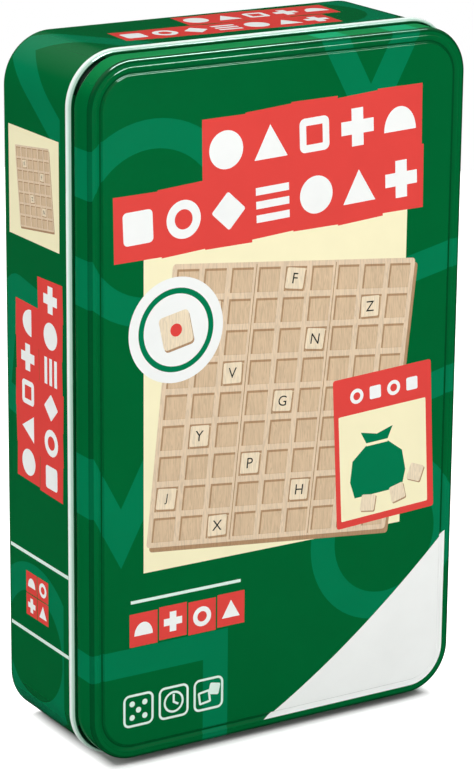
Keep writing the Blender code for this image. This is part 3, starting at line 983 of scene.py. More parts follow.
def lidProfile():
    slopeStart = lid["inset"] + lid["grooveStart"]
    slopeEnd = slopeStart + lid["grooveSlope"]
    riseStart = slopeEnd + lid["grooveFloor"]
    riseEnd = riseStart + lid["grooveRise"]
    floor, panel, flange = (front + lid[k] for k in ("grooveDepth", "panelDrop", "flangeDrop"))
    points = [(lid["inset"] + lid["shoulder"], flange)]
    points += eased((slopeStart - lid["lipWidth"], flange), (slopeStart, front), 6)
    points += eased((slopeStart, front), (slopeEnd, floor), 10)[1:]
    points += eased((riseStart, floor), (riseEnd, panel), 8)
    return points + [(riseEnd + lid["panelMargin"], panel)]


def lidDepth(x, z, profile):
    reach = (abs(x) - flatWide, abs(z) - flatHigh)
    outside = math.hypot(max(reach[0], 0), max(reach[1], 0)) + min(max(reach), 0)
    inset = tin["corner"] - outside
    for (insetA, depthA), (insetB, depthB) in zip(profile, profile[1:]):
        if inset <= insetB:
            share = max(0, (inset - insetA) / max(insetB - insetA, 1e-9))
            return depthA + (depthB - depthA) * share
    return profile[-1][1]


# Where the contours cross the line on which one coordinate has the given level
def crossings(contours, axis, level, reach):
    found = []
    for contour in contours:
        for a, b in pairs(contour):
            if (a[axis] > level) != (b[axis] > level):
                share = (level - a[axis]) / (b[axis] - a[axis])
                found.append(a[1 - axis] + (b[1 - axis] - a[1 - axis]) * share)
    return sorted(along for along in found if abs(along) < reach)


def makeLid(printed, bare, dullLitTop):
    profile = lidProfile()
    shapes = lidPrint()
    tones = [contours for ink, contours in shapes if ink == "tone"]
    outer = profile[0][0]
    sides = ((1, halfHigh - outer, flatWide, -1), (0, outer - halfWide, flatHigh, -1),
             (1, outer - halfHigh, flatWide, 1), (0, halfWide - outer, flatHigh, 1))
    cuts = [crossings(sum(tones, []), axis, level, reach)[::way] for axis, level, reach, way in sides]

    # The outline, with a point wherever a tone shape runs over the edge
    def loopAt(inset):
        whole, made = caseLoop(inset), []
        for side, step in enumerate(range(0, len(whole), tin["cornerSteps"] + 1)):
            made += whole[step:step + tin["cornerSteps"] + 1]
            x, z, corner = made[-1]
            made += [(x, cut, 0) if side % 2 else (cut, z, 0) for cut in cuts[side]]
        return made

    outline = [(x, z) for x, z, corner in loopAt(outer)]
    toned = []
    for a, b in pairs(outline):
        x, z = (a[0] + b[0]) / 2, (a[1] + b[1]) / 2
        beside = (sum(along > x for along in crossings(contours, 1, z, 1)) for contours in tones)
        toned.append(any(count % 2 for count in beside))
    guides = [flatLoop(inset) for inset, depth in profile[1:]]
    patch = inkedPatch(outline, guides, shapes, flatLoop(lid["printInset"]))
    bm = inkedMesh()
    addPatch(bm, patch, lambda v: (v.x, lidDepth(v.x, v.y, profile), v.y + middle))
    sheet, lift, rear = tin["sheet"], lid["cornerLift"], lidHigh.y
    centre = (lid["inset"] + lid["shoulder"], front + lid["flangeDrop"] + lid["shoulder"])
    shares = [i / 16 for i in range(1, 17)]
    fall = rear - sheet - centre[1]
    skirt = [(lid["inset"], centre[1] + fall * share, lift * share ** 2) for share in shares]
    turn = [(i, d, lift) for i, d in arc(lid["inset"] + sheet, rear - sheet, sheet, 180, 0, 8)]
    inside = [(lid["inset"] + k * sheet, rear - lid["hem"], lift) for k in (2, 1)]
    inside += arc(*centre, lid["shoulder"] - sheet, 180, 270, 8)
    inside += [(inset, depth + sheet) for inset, depth in profile[1:]]
    skirtInk = ["tone" if tone else "ground" for tone in toned]
    # The shoulder is painted darker as painted shade, on the pale shapes too
    shoulderShadeInk = ["toneShoulderShade" if tone else "deep" for tone in toned]
    addSweep(bm, loopAt, [
        (arc(*centre, lid["shoulder"], 270, 180, 12), shoulderShadeInk, 0, 0.0),
        (skirt, skirtInk, 2, 0.0),
        (turn[1:], skirtInk, 2, 0.8),
        (inside, "white", 1, 0.0),
    ], middle, 1)
    dress(closeMesh("lidShell", bm, (printed, bare, dullLitTop)), "lid", "printed_tin", "lid")


# Case wall: the print lies on the flat of the wall, between the bead and the folded rim
def makeWall(printed, bare):
    sheet, bead, neck, line = tin["sheet"], front + tin["lidDrop"], tin["neckInset"], tin["beadEdgeShadeWidth"]
    beadBack = bead + tin["beadWidth"]
    rimDepth = back - tin["rimRadius"]
    curl = tin["mouthCurl"] / 2
    curlDepth = front + sheet + tin["mouthClearance"] + curl

    def beadLine(inset, low, high, steps):
        return [(inset - tin["beadProud"] * math.sin(math.pi * i / steps), low + (high - low) * i / steps)
                for i in range(steps + 1)]

    lip = (tin["rimLip"], back - sheet)
    rim = [lip, (tin["rimLip"], back)] + arc(tin["rimRadius"], rimDepth, tin["rimRadius"], 90, 180, 10)
    mouth = arc(neck + curl, curlDepth, curl, 180, 405, 18)
    inner = [(neck + sheet, curlDepth + curl), (neck + sheet, bead + sheet)]
    inner += beadLine(sheet, bead + sheet, beadBack, 10)
    inner += arc(tin["rimRadius"], rimDepth, tin["rimRadius"] - sheet, 180, 90, 8)

    loop = flatLoop(0)
    runs = running(loop + loop[:1])
    patch = stripPatch(runs, beadBack, rimDepth, tin["printMargin"], wallPrint(runs, beadBack))

    def spot(v):
        i, share = located(runs, v.x)
        x, z = (a + (b - a) * share for a, b in zip(loop[i], loop[(i + 1) % len(loop)]))
        return x, v.y, z + middle

    bm = inkedMesh()
    addPatch(bm, patch, spot)
    addSweep(bm, caseLoop, [(rim, "ground", 0, 0.6)], middle)
    # The bead's white is tinted green as painted reflection, and darkens forward as painted shade.
    # The step behind the lid's edge is painted shade: dark green, and a painted shadow at the corners,
    # where the edge lifts
    beadFront = beadLine(0, bead, beadBack, 18)[::-1]
    corners = [corner for x, z, corner in caseLoop(0)]
    stepShadeInk = ["shadow" if max(a, b) > 0.3 else "deep" for a, b in pairs(corners)]
    shades = (("ground", 0, 3), ("bead", 3, 14), ("beadTurnShade", 14, 16), ("beadShade", 16, 19))
    addSweep(bm, caseLoop, [(beadFront[first:end], ink, 0, 0.0) for ink, first, end in shades] + [
        ([(line, bead)], "beadEdgeShade", 0, 0.0),
        ([(2 * line, bead), (neck, bead)], stepShadeInk, 0, 0.0),
        ([(neck, bead - tin["neckPrint"]), (neck, curlDepth)], "white", 1, 0.0),
        (mouth, "white", 1, 0.7),
        (inner + [lip], "white", 1, 0.0),
    ], middle)
    dress(closeMesh("caseShell", bm, (printed, bare)), "case", "printed_tin", "case_wall")


# Base plate: bare tinplate seamed into the rim, with one pressed step and a rib
plate = {
    "edge": 0.0006,
    "bend": 0.0007,
    "recess": 0.0024,
    "step": 0.0005,
    "stepInset": 0.0060,
    "stepWidth": 0.0008,
    "ribInset": 0.0105,
    "ribWidth": 0.0022,
    "ribDepth": 0.0002,
}


def makeBase(bare):
    sheet, edge, bend = tin["sheet"], plate["edge"], plate["bend"]
    behind = back - plate["recess"]
    face = behind - plate["step"]
    flat = eased((plate["stepInset"], behind), (plate["stepInset"] + plate["stepWidth"], face), 8)
    for share in (i / 12 for i in range(13)):
        rise = plate["ribDepth"] * math.sin(math.pi * share) ** 2
        flat.append((plate["ribInset"] + plate["ribWidth"] * share, face - rise))
    centre = (edge + bend, behind + bend - sheet)
    outer = flat[::-1] + arc(*centre, bend - sheet, 180, 270, 8)[::-1]
    lip = [(edge + sheet, back - edge), (edge, back - edge)]
    inner = arc(*centre, bend, 180, 270, 8) + [(inset, depth - sheet) for inset, depth in flat]
    bm = inkedMesh()
    stretches = [(points, "white", 0, worn) for points, worn in ((outer, 0.0), (lip, 0.6), (inner, 0.0))]
    addSweep(bm, caseLoop, stretches, middle, 2)
    dress(closeMesh("baseShell", bm, (bare,)), "case", "bare_tin", "base_plate")


# Boards: a grid of cells cut through the front ply, with pockets for the magnets in its long edges
board = {
    "columns": 3,
    "rows": 9,
    "pitch": 0.020,
    "cell": 0.0178,
    "cellChamfer": 0.00025,
    "corner": 0.0030,
    "edgeRound": 0.0004,
    "magnetRadius": 0.0025,
    "magnetDepth": 0.0015,
    "magnetRound": 0.0002,
    "magnetGap": 0.0003,
    "magnetRow": 3,
}


# A plate with round edges. Its front may be left open for a printed face
def roundedPlate(bm, low, high, corner, rounding, steps, ink="white", edge=0.0, openFront=False):
    def loopAt(inset):
        loop = roundedLoop(high.x - low.x - 2 * inset, high.z - low.z - 2 * inset, corner - inset, steps)
        return [(x + (low.x + high.x) / 2, z + (low.z + high.z) / 2, share) for x, z, share in loop]

    section = arc(rounding, low.y + rounding, rounding, 270, 180, 4)
    section += arc(rounding, high.y - rounding, rounding, 180, 90, 4)
    addSweep(bm, loopAt, [(section, ink, 0, edge)], 0, 1 if openFront else 2)


# Cuts the cells, with chamfered mouths, and the magnets' pockets out of a plain plate
def cellTree(sizes):
    g, given = startTree("cellCuts", "GeometryNodeTree", {"Geometry": None, **sizes})
    upright = (math.pi / 2, 0, 0)
    cell, chamfer, face, pitch = (given[k] for k in ("Cell", "Chamfer", "Face", "Pitch"))

    def turned(geometry, rotation, move=(0, 0, 0)):
        return g.geo("Transform", {"Geometry": geometry, "Rotation": rotation, "Translation": move})

    def atPoints(width, height, columns, rows, tool):
        grid = {"Size X": width, "Size Y": height, "Vertices X": columns, "Vertices Y": rows}
        spots = turned(g.geo("MeshGrid", grid), upright, given["Centre"])
        placed = g.geo("InstanceOnPoints", {"Points": spots, "Instance": tool})
        return g.geo("RealizeInstances", {0: placed})

    rootTwo = math.sqrt(2)
    flare = g.geo("MeshCone", {"Vertices": 4, "Radius Top": (cell * 0.5 + chamfer * 2.0) * rootTwo,
                               "Radius Bottom": (cell * 0.5 - chamfer) * rootTwo, "Depth": chamfer * 3.0})
    flare = turned(turned(flare, (0, 0, math.pi / 4)), upright, g.vector(0.0, face + chamfer * 2.0))
    block = g.geo("MeshCube", {"Size": g.vector(cell, cell, given["Thickness"] * 4.0)})
    cutter = g.joined(flare, turned(block, upright, g.vector(0.0, face)))
    wide, tall = ((given[k] - 1.0) * pitch for k in ("Columns", "Rows"))
    cells = atPoints(wide, tall, given["Columns"], given["Rows"], cutter)
    bar = g.geo("MeshCylinder", {"Vertices": 40, "Radius": given["Magnet Radius"],
                                 "Depth": given["Magnet Depth"] * 2.0})
    bar = turned(bar, (0, math.pi / 2, 0))
    bars = atPoints(given["Magnet Reach"] * 2.0, given["Magnet Rows"] * 2.0, 2, 2, bar)
    made = given["Geometry"]
    for tool in (cells, bars):
        made = g.geo("MeshBoolean", {"Mesh 1": made, "Mesh 2": tool, "Self Intersection": True},
                     operation="DIFFERENCE", solver="EXACT")
    return endGeometry(g, made, given["Wood"])


def gridSizes(number, wood):
    low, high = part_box(f"board_{number}_grid")
    centre = (low + high) / 2
    return {
        "Columns": board["columns"], "Rows": board["rows"], "Pitch": board["pitch"], "Cell": board["cell"],
        "Chamfer": board["cellChamfer"], "Face": low.y, "Thickness": high.y - low.y,
        "Centre": (centre.x, 0.0, centre.z), "Wood": wood,
        "Magnet Radius": board["magnetRadius"] + board["magnetGap"] / 2,
        "Magnet Depth": board["magnetDepth"] + board["magnetGap"],
        "Magnet Reach": (high.x - low.x) / 2, "Magnet Rows": board["magnetRow"] * board["pitch"],
    }


def makeBoards(gridWood, plywood, nickel):
    tree = cellTree(gridSizes(1, gridWood))
    for number in (1, 2, 3):
        name = f"board_{number}"
        low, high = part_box(f"{name}_grid")
        bm = inkedMesh()
        roundedPlate(bm, low, high, board["corner"], board["edgeRound"], 10)
        mesh = runTree(tree, closeMesh("gridPlate", bm, (gridWood,)), gridSizes(number, gridWood))
        bm = bmesh.new()
        bm.from_mesh(mesh)
        bpy.data.meshes.remove(mesh)
        dress(closeMesh(f"boardGrid{number}", bm, (gridWood,), 30), name, "grid_wood", f"{name}_grid")
        for slot in bpy.data.objects[f"{name}_base"].material_slots:
            slot.material = plywood
        makeMagnets(number, nickel)


# Disc magnets let into the long edges, half in each ply
def makeMagnets(number, nickel):
    low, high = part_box(f"board_{number}_grid")
    radius, thickness, rounding = (board[k] for k in ("magnetRadius", "magnetDepth", "magnetRound"))
    section = arc(radius - rounding, rounding, rounding, -90, 0, 4)
    section += [(reach, thickness - depth) for reach, depth in section[::-1]]
    places = [(side, outer, level) for side, outer in ((-1, low.x), (1, high.x)) for level in (-1, 1)]
    between = (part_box(f"board_{number}_base")[1].y + low.y) / 2

    def discLoop(reach):
        return [(x, z, 0) for x, z in disc(0, 0, reach)]

    for index, (side, outer, level) in enumerate(places, 1):
        bm = inkedMesh()
        addSweep(bm, discLoop, [(section, "white", 0, 0.8)], 0, 2)
        height = (low.z + high.z) / 2 + level * board["magnetRow"] * board["pitch"]
        place = Matrix(((0, -side, 0, outer), (1, 0, 0, between), (0, 0, 1, height), (0, 0, 0, 1)))
        bmesh.ops.transform(bm, matrix=place, verts=bm.verts)
        made = closeMesh(f"boardMagnet{number}{'abcd'[index - 1]}", bm, (nickel,))
        dress(made, f"board_{number}", "magnet_nickel", f"board_{number}_magnet_{index}")


# Letter tiles: wood with one printed letter each. No row or column of them spells a word
tile = {
    "letters": "KZFWGQXJVHPNCBMR",
    "letterSize": 0.0078,
    "printShare": 0.9,
    "size": 0.0156,
    "corner": 0.0012,
    "rounding": 0.0005,
    "turnDegrees": 1.6,
}


def makeTiles(wood):
    size, corner, rounding = tile["size"], tile["corner"], tile["rounding"]
    flat = size - 2 * rounding
    outline = [(x, z) for x, z, share in roundedLoop(flat, flat, corner - rounding, 6)]
    limit = rectangle(0, 0, size * tile["printShare"], size * tile["printShare"])
    for index, text in enumerate(tile["letters"], 1):
        name = f"tile_{index:02d}"
        low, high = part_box(name)
        half = Vector((size, high.y - low.y, size)) / 2
        shapes = [("black", letter(text, 0, 0, tile["letterSize"]))]
        patch = inkedPatch(outline, [], shapes, limit, "tileWood")
        bm = inkedMesh()
        addPatch(bm, patch, lambda v: (v.x, -half.y, v.y))
        roundedPlate(bm, -half, half, corner, rounding, 6, "tileWood", 0.9, True)
        turn = Matrix.Rotation(math.radians(tile["turnDegrees"]) * math.sin(7 * index), 4, "Y")
        bmesh.ops.transform(bm, matrix=Matrix.Translation((low + high) / 2) @ turn, verts=bm.verts)
        dress(closeMesh(f"letterTile{index:02d}", bm, (wood,), 50), name, "tile_wood", name)


# Rules leaflet: one sheet in four panels, folded in a zigzag
leaflet = {
    "panels": 4,
    "spacing": 0.00027,
    "paper": 0.00015,
    "margin": 0.0004,
    "foldSteps": 12,
    "panelSteps": 14,
}


def leafletPrint(width, height, start):
    page = Page(lambda x, z: (start + x * mm, z * mm))
    w, h = width / mm, height / mm
    page.block("ground", w / 2, h - 17, w - 12, 22)
    for i, kind in enumerate(upperMarks):
        page.mark("white", kind, w / 2 - 26 + 13 * i, h - 17, 9)
    for line in range(9):
        length = (w - 22) * (0.97 - 0.12 * (line * 7 % 4))
        page.block("greyText", 11 + length / 2, h - 38 - 4.4 * line, length, 1.0)
    page.board(30, 32, 5.4, 6, 7, 0, ((1, 1, "K"), (4, 2, "F"), (2, 4, "Z")))
    for line in range(8):
        length = 30 * (0.95 - 0.14 * (line * 5 % 4))
        page.block("greyText", 61 + length / 2, 48 - 4.4 * line, length, 1.0)
    return page.shapes


def makeLeaflet(paper):
    low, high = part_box("leaflet")
    spacing, thick, panels = leaflet["spacing"], leaflet["paper"], leaflet["panels"]
    folds, steps = leaflet["foldSteps"], leaflet["panelSteps"]
    height = high.z - low.z
    half = (high.x - low.x - spacing - thick) / 2
    rear = high.y - thick / 2
    line = []  # the folded sheet from above, as places and the ways out of it
    for panel in range(panels):
        way = 1 - 2 * (panel % 2)
        for step in range(steps + 1):
            line.append((way * half * (2 * step / steps - 1), panel * spacing, 0, -way))
        for step in range(1, folds if panel < panels - 1 else 1):
            c, s = (wave(math.pi * (step / folds - 0.5)) for wave in (math.cos, math.sin))
            line.append((way * (half + spacing / 2 * c), spacing * (panel + 0.5 + s / 2), way * c, way * s))
    runs = running([place[:2] for place in line])

    def onSide(side):
        def spot(v):
            i, share = located(runs, v[0])
            x, y, nx, ny = (a + (b - a) * share for a, b in zip(line[i], line[i + 1]))
            return x + side * thick / 2 * nx, rear - y - side * thick / 2 * ny, low.z + v[1]
        return spot

    start = runs[-1 - steps]
    shapes = leafletPrint(runs[-1] - start, height, start)
    bm = inkedMesh()
    addPatch(bm, stripPatch(runs, 0, height, leaflet["margin"], shapes, "paper"), onSide(1))
    addPatch(bm, stripPatch(runs, 0, height, leaflet["margin"], [], "paper"), onSide(-1))
    outline = stripOutline(runs, 0, height)
    for face in bridged(bm, *([bm.verts.new(onSide(side)(p)) for p in outline] for side in (1, -1))):
        paint(bm, face, "paper")
    dress(closeMesh("rulesLeaflet", bm, (paper,), 60), "leaflet", "leaflet_paper", "leaflet")


# Tile bag: a cotton shell full of tiles, its neck drawn in by the cord and its mouth left as a frill
bag = {
    "depth": 0.029,
    "neck": 0.121,
    "height": 0.146,
    "neckRadius": 0.0066,
    "foot": 0.010,
    "band": 0.0024,
    "footShare": 0.62,
    "shoulderShare": 0.70,
    "squareness": 1.2,
    "frillShare": 0.37,
    "frillDepthShare": 0.40,
    "around": 168,
    "bodyRings": 84,
    "frillRings": 20,
    "cloth": 0.0007,
    "girth": 0.124,          # of the weave
    "hemRound": 0.0003,
    "pleats": 11,
    "neckPleats": 0.0019,    # depths of the folds and marks
    "bodyPleats": 0.0013,
    "tileMarks": 0.0007,
    "creases": 0.0007,
    "frillWaves": 0.0038,
    "cordMark": 0.0006,
    "frillDroop": 0.0022,
    "pleatReach": 0.024,
    "leastReach": 0.0004,
}
bagShoulder = bag["neck"] * bag["shoulderShare"]
frillStart = bag["neck"] + bag["band"]
frillHeight = bag["height"] - frillStart


def bagSwell(height):
    share = (height - bagShoulder) / (bag["neck"] - bag["band"] - bagShoulder)
    return (1 + math.cos(math.pi * min(max(share, 0), 1))) / 2


# Half width, half depth and squareness of the filled bag at a height
def bagSection(height, width):
    swell = bagSwell(height)
    rounding = 1 - min(height / bag["foot"], 1)
    foot = bag["footShare"] + (1 - bag["footShare"]) * math.sqrt(1 - rounding ** 2)
    neck = bag["neckRadius"]
    wide, deep = (neck + (size / 2 * foot - neck) * swell for size in (width, bag["depth"]))
    if height > frillStart:
        opening = math.sin((height - frillStart) / frillHeight * math.pi / 2)
        wide += (width * bag["frillShare"] - neck) * opening
        deep += (width * bag["frillShare"] - neck) * opening * bag["frillDepthShare"]
    return wide, deep, 1 + bag["squareness"] * swell


# A point of the cloth, with the folds and the marks of the tiles pressed in from the filled shape
def bagPoint(height, turn, width, deeper=0.0):
    wide, deep, square = bagSection(height, width)
    swell = bagSwell(height)
    pleat = (1 - math.cos(bag["pleats"] * turn + 0.9 * math.sin(2 * turn + 0.7))) / 2
    reach = math.exp(-(max(bagShoulder - height, 0) / bag["pleatReach"]) ** 2)
    lumps = math.sin(9 * turn + 260 * height + 1.4 * math.sin(5 * turn))
    lumps *= math.sin(330 * height + 2.1 * math.sin(4 * turn))
    crease = max(0, math.sin(3 * turn + 95 * height + 1.7 * math.sin(2 * turn + 40 * height))) ** 6
    frill = max(0, (height - frillStart) / frillHeight)
    inward = deeper + bag["neckPleats"] * (1 - swell) * pleat
    inward += bag["bodyPleats"] * swell * reach * pleat * (0.6 + 0.4 * math.sin(3 * turn + 1))
    inward += swell * (bag["tileMarks"] * (0.5 + 0.5 * lumps) + bag["creases"] * crease)
    inward += bag["frillWaves"] * frill * (0.5 - 0.5 * math.cos(7 * turn + 0.8 * math.sin(3 * turn)))
    if abs(height - bag["neck"]) < bag["band"]:
        inward += bag["cordMark"] * math.cos((height - bag["neck"]) / bag["band"] * math.pi / 2)
    x, y = (max(half - inward, bag["leastReach"]) * math.copysign(abs(wave) ** (1 / square), wave)
            for half, wave in ((wide, math.cos(turn)), (deep, math.sin(turn))))
    return x, y, height - bag["frillDroop"] * frill * (0.5 + 0.5 * math.sin(5 * turn + 1.2))


def bagPlace():
    low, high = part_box("tile_bag")
    return Vector(((low.x + high.x) / 2, high.y - bag["depth"] / 2, low.z)), high.x - low.x


def makeBag(cloth):
    place, width = bagPlace()
    around, foot, inner = bag["around"], bag["foot"], bag["cloth"]
    body = [foot * (i / 10) ** 1.6 for i in range(10)]
    body += [foot + (frillStart - foot) * i / bag["bodyRings"] for i in range(bag["bodyRings"])]
    frill = [frillStart + frillHeight * i / bag["frillRings"] for i in range(bag["frillRings"] + 1)]
    # Each ring is a height, a share of the section and how far the cloth lies inside
    rings = [(0.0, share, 0.0) for share in (0.04, 0.3, 0.6, 0.85)]
    rings += [(height, 1.0, 0.0) for height in body + frill]
    rings += [(frill[-1], 1.0, inner * share) for share in (0.25, 0.6, 0.9)]
    rings += [(height, 1.0, inner) for height in frill[-2::-1]]
    bm = bmesh.new()
    flat = bm.loops.layers.uv.new("cloth")
    last, run = None, 0.0
    for height, share, deeper in rings:
        hem = bag["hemRound"] * math.sin(math.pi * deeper / inner) if deeper < inner else 0
        points = [bagPoint(height, 2 * math.pi * i / around, width, deeper) for i in range(around)]
        loop = [bm.verts.new(place + Vector((x * share, y * share, z + hem))) for x, y, z in points]
        if last:
            step = (loop[0].co - last[0].co).length
            for i, face in enumerate(bridged(bm, last, loop)):
                face.smooth = True
                for corner, (u, v) in zip(face.loops, ((i, 0), (i + 1, 0), (i + 1, 1), (i, 1))):
                    corner[flat].uv = (u / around * bag["girth"], run + v * step)
            run += step
        else:
            bm.faces.new(loop)
        last = loop
    bm.faces.new(last)
    dress(closeMesh("tileBagCloth", bm, (cloth,), 75), "bag", "bag_cloth", "tile_bag")


# Rows of running stitches along the bag's hem and on both sides of the cord's band
stitch = {
    "spacing": 0.0021,
    "length": 0.0014,
    "thickness": 0.00030,
    "proud": 0.00004,
    "hemDrop": 0.0042,
    "bandReach": 0.0034,
    "lineSteps": 120,
}


def stitchTree(sizes):
    g, given = startTree("stitchRow", "GeometryNodeTree", {"Geometry": None, **sizes})
    line = g.geo("ResampleCurve", {"Curve": given["Geometry"], "Length": given["Spacing"]}, mode="LENGTH")
    bead = g.geo("MeshUVSphere", {"Segments": 6, "Rings": 5, "Radius": 0.5})
    size = g.vector(given["Thickness"], given["Thickness"], given["Length"])
    bead = g.geo("SetShadeSmooth", {0: g.geo("Transform", {"Geometry": bead, "Scale": size})})
    along = g.node("FunctionNodeAlignRotationToVector", {"Vector": g.geo("InputTangent")}, axis="Z")
    turn = Value(g, along.outputs[0])
    row = g.geo("InstanceOnPoints", {"Points": line, "Instance": bead, "Rotation": turn})
    return endGeometry(g, row, given["Thread"])


def makeStitches(thread):
    place, width = bagPlace()
    sizes = {"Spacing": stitch["spacing"], "Length": stitch["length"],
             "Thickness": stitch["thickness"], "Thread": thread}
    tree = stitchTree(sizes)
    turns = [2 * math.pi * i / stitch["lineSteps"] for i in range(stitch["lineSteps"])]
    rows = {"Hem": bag["height"] - stitch["hemDrop"], "BandLow": bag["neck"] - stitch["bandReach"],
            "BandHigh": bag["neck"] + stitch["bandReach"]}
    for name, height in rows.items():
        points = [place + Vector(bagPoint(height, turn, width, -stitch["proud"])) for turn in turns]
        mesh = runTree(tree, curveThrough("stitchLine", points, True), sizes)
        dress(addPiece(f"bagStitches{name}", mesh), "bag", "bag_cloth")


# Drawstring: three strands twisted round a route, with a knot near each end
cord = {
    "radius": 0.0011,
    "tail": 0.048,
    "spread": 0.0060,
    "tailShares": (1, 0.85, 0.7, 0.56, 0.43, 0.32, 0.22, 0.12),
    "wrapSteps": 24,
    "gapDegrees": 26,
    "clearance": 0.0003,
    "strands": 3,
    "strandShare": 0.54,
    "strandSides": 9,
    "twistsPerMetre": 150.0,
    "routeSpacing": 0.0012,
    "ringSpacing": 0.00045,
    "knotShare": 0.95,
    "knotCordShare": 0.85,
    "knotTwistsPerMetre": 200.0,
    "knotRise": 0.0065,
    "knotSteps": 60,
}


def catmull(points, spacing):
    made = []
    for i in range(len(points) - 1):
        a, b, c, d = (Vector(points[min(max(i + k, 0), len(points) - 1)]) for k in (-1, 0, 1, 2))
        steps = max(2, round((c - b).length / spacing))
        for t in (step / steps for step in range(steps)):
            bend = (2 * a - 5 * b + 4 * c - d) * t * t + (3 * b - a - 3 * c + d) * t ** 3
            made.append(0.5 * (2 * b + (c - a) * t + bend))
    return made + [Vector(points[-1])]


def twistTree(sizes):
    g, given = startTree("twistedCord", "GeometryNodeTree", {"Geometry": None, **sizes})
    line = g.geo("ResampleCurve", {"Curve": given["Geometry"], "Length": given["Spacing"]}, mode="LENGTH")
    normal = g.geo("InputNormal")
    across = g.shade("VectorMath", {0: g.geo("InputTangent"), 1: normal}, operation="CROSS_PRODUCT")
    turn = g.geo("SplineParameter", None, "Length") * given["Twists"] * (2 * math.pi)
    circle = g.geo("CurvePrimitiveCircle", {"Resolution": cord["strandSides"],
                                            "Radius": given["Radius"] * cord["strandShare"]})
    strands = []
    for strand in range(cord["strands"]):
        angle = turn + 2 * math.pi * strand / cord["strands"]
        ways = {0: g.scaled(normal, g.calc("COSINE", angle)), 1: g.scaled(across, g.calc("SINE", angle))}
        offset = g.scaled(g.shade("VectorMath", ways, operation="ADD"), given["Radius"] * 0.5)
        placed = g.geo("SetPosition", {"Geometry": line, "Offset": offset})
        strands.append(g.geo("CurveToMesh", {"Curve": placed, "Profile Curve": circle, "Fill Caps": True}))
    return endGeometry(g, g.geo("SetShadeSmooth", {0: g.joined(*strands)}), given["Cotton"])


def makeCord(cotton):
    place, width = bagPlace()
    clear = cord["radius"] + cord["clearance"]
    gap = math.radians(cord["gapDegrees"])
    tail = []
    for share in cord["tailShares"]:
        height = bag["neck"] - cord["tail"] * share
        tail.append((-cord["spread"] * (1 + share) / 2, -bagSection(height, width)[1] - clear, height))
    wrap = []
    for step in range(cord["wrapSteps"] + 1):
        turn = -math.pi / 2 - gap - (2 * math.pi - 2 * gap) * step / cord["wrapSteps"]
        reach = bag["neckRadius"] + clear
        wrap.append((reach * math.cos(turn), reach * math.sin(turn), bag["neck"]))
    route = catmull(tail + wrap + [(-x, y, z) for x, y, z in tail[::-1]], cord["routeSpacing"])
    sizes = {"Radius": cord["radius"], "Twists": cord["twistsPerMetre"],
             "Spacing": cord["ringSpacing"], "Cotton": cotton}
    tree = twistTree(sizes)
    line = curveThrough("cordLine", [place + p for p in route])
    dress(addPiece("drawstring", runTree(tree, line, sizes)), "bag", "bag_cord", "bag_cord")

    sizes["Radius"] = cord["radius"] * cord["knotCordShare"]
    sizes["Twists"] = cord["knotTwistsPerMetre"]
    trefoil = []
    for t in (2 * math.pi * i / cord["knotSteps"] for i in range(cord["knotSteps"])):
        point = Vector((math.sin(t) + 1.6 * math.sin(2 * t), 0.8 * math.sin(3 * t) - 0.8,
                        math.cos(t) - 1.6 * math.cos(2 * t)))
        trefoil.append(cord["radius"] * cord["knotShare"] * point)
    x, y, z = tail[0]
    for name, end in (("Left", x), ("Right", -x)):
        centre = place + Vector((end, y, z + cord["knotRise"]))
        line = curveThrough("knotLine", [centre + point for point in trefoil], True)
        dress(addPiece(f"cordKnot{name}", runTree(tree, line, sizes)), "bag", "bag_cord")


# Studio. In reflections the floor is dark, except for a pale card behind the case, and the room
# darkens low down. The contact shadow ends close outside the flat of the underside
studio = {
    "floorRadius": 0.7,
    "floorTint": (0.60, 0.60, 0.59, 1),
    "mirroredFloor": (0.006, 0.60),              # away from the card, and on it
    "cardAcross": (-0.03, 0.04),
    "cardBehind": (0.03, 0.12),
    "contactReach": 0.008,
    "contact": (0.40, 0.80),
    "shadowEnd": (0.0506, 0.0548),
    "glow": 0.92,
    "mirroredRoom": (0.27, 0.95, 0.01, 0.45),    # two heights, and how bright each is
    "roomLight": 0.45,
}


def makeFloor():
    bm = bmesh.new()
    bmesh.ops.create_circle(bm, cap_ends=True, segments=96, radius=studio["floorRadius"])
    mesh = bpy.data.meshes.new("floor")
    bm.to_mesh(mesh)
    bm.free()
    material = bpy.data.materials.new("floor")
    material.use_nodes = True
    material.node_tree.nodes.clear()
    g = Graph(material.node_tree)
    path = g.results("ShaderNodeLightPath")
    x, y = g.axes(g.shade("TexCoord", None, "Object"))[:2]
    card = g.mapRange(x + y * 0.5, *studio["cardAcross"]) * g.mapRange(y, *studio["cardBehind"])
    share = g.mapRange(card, 0.0, 1.0, *studio["mirroredFloor"])
    mirrored = g.shade("CombineColor", {0: share, 1: share, 2: share})
    tint = g.mixColour(path["Is Glossy Ray"], studio["floorTint"], mirrored)
    matte = g.shade("BsdfDiffuse", {"Color": tint})
    contact = g.shade("AmbientOcclusion", {"Distance": studio["contactReach"]}, "AO", samples=8)
    outside = g.mapRange(g.calc("ABSOLUTE", x), *studio["shadowEnd"], 0.0, studio["glow"])
    strength = g.calc("MAXIMUM", g.mapRange(contact, *studio["contact"], 0.0, studio["glow"]), outside)
    lit = g.shade("AddShader", {0: matte, 1: g.shade("Emission", {"Strength": strength})})
    seen = g.calc("MAXIMUM", path["Is Camera Ray"], path["Is Transmission Ray"])
    seen = g.calc("MAXIMUM", seen, path["Is Glossy Ray"] * share)
    g.node("ShaderNodeOutputMaterial", {0: g.shade("MixShader", {0: seen, 1: matte, 2: lit})})
    addPiece("floor", mesh, (material,))


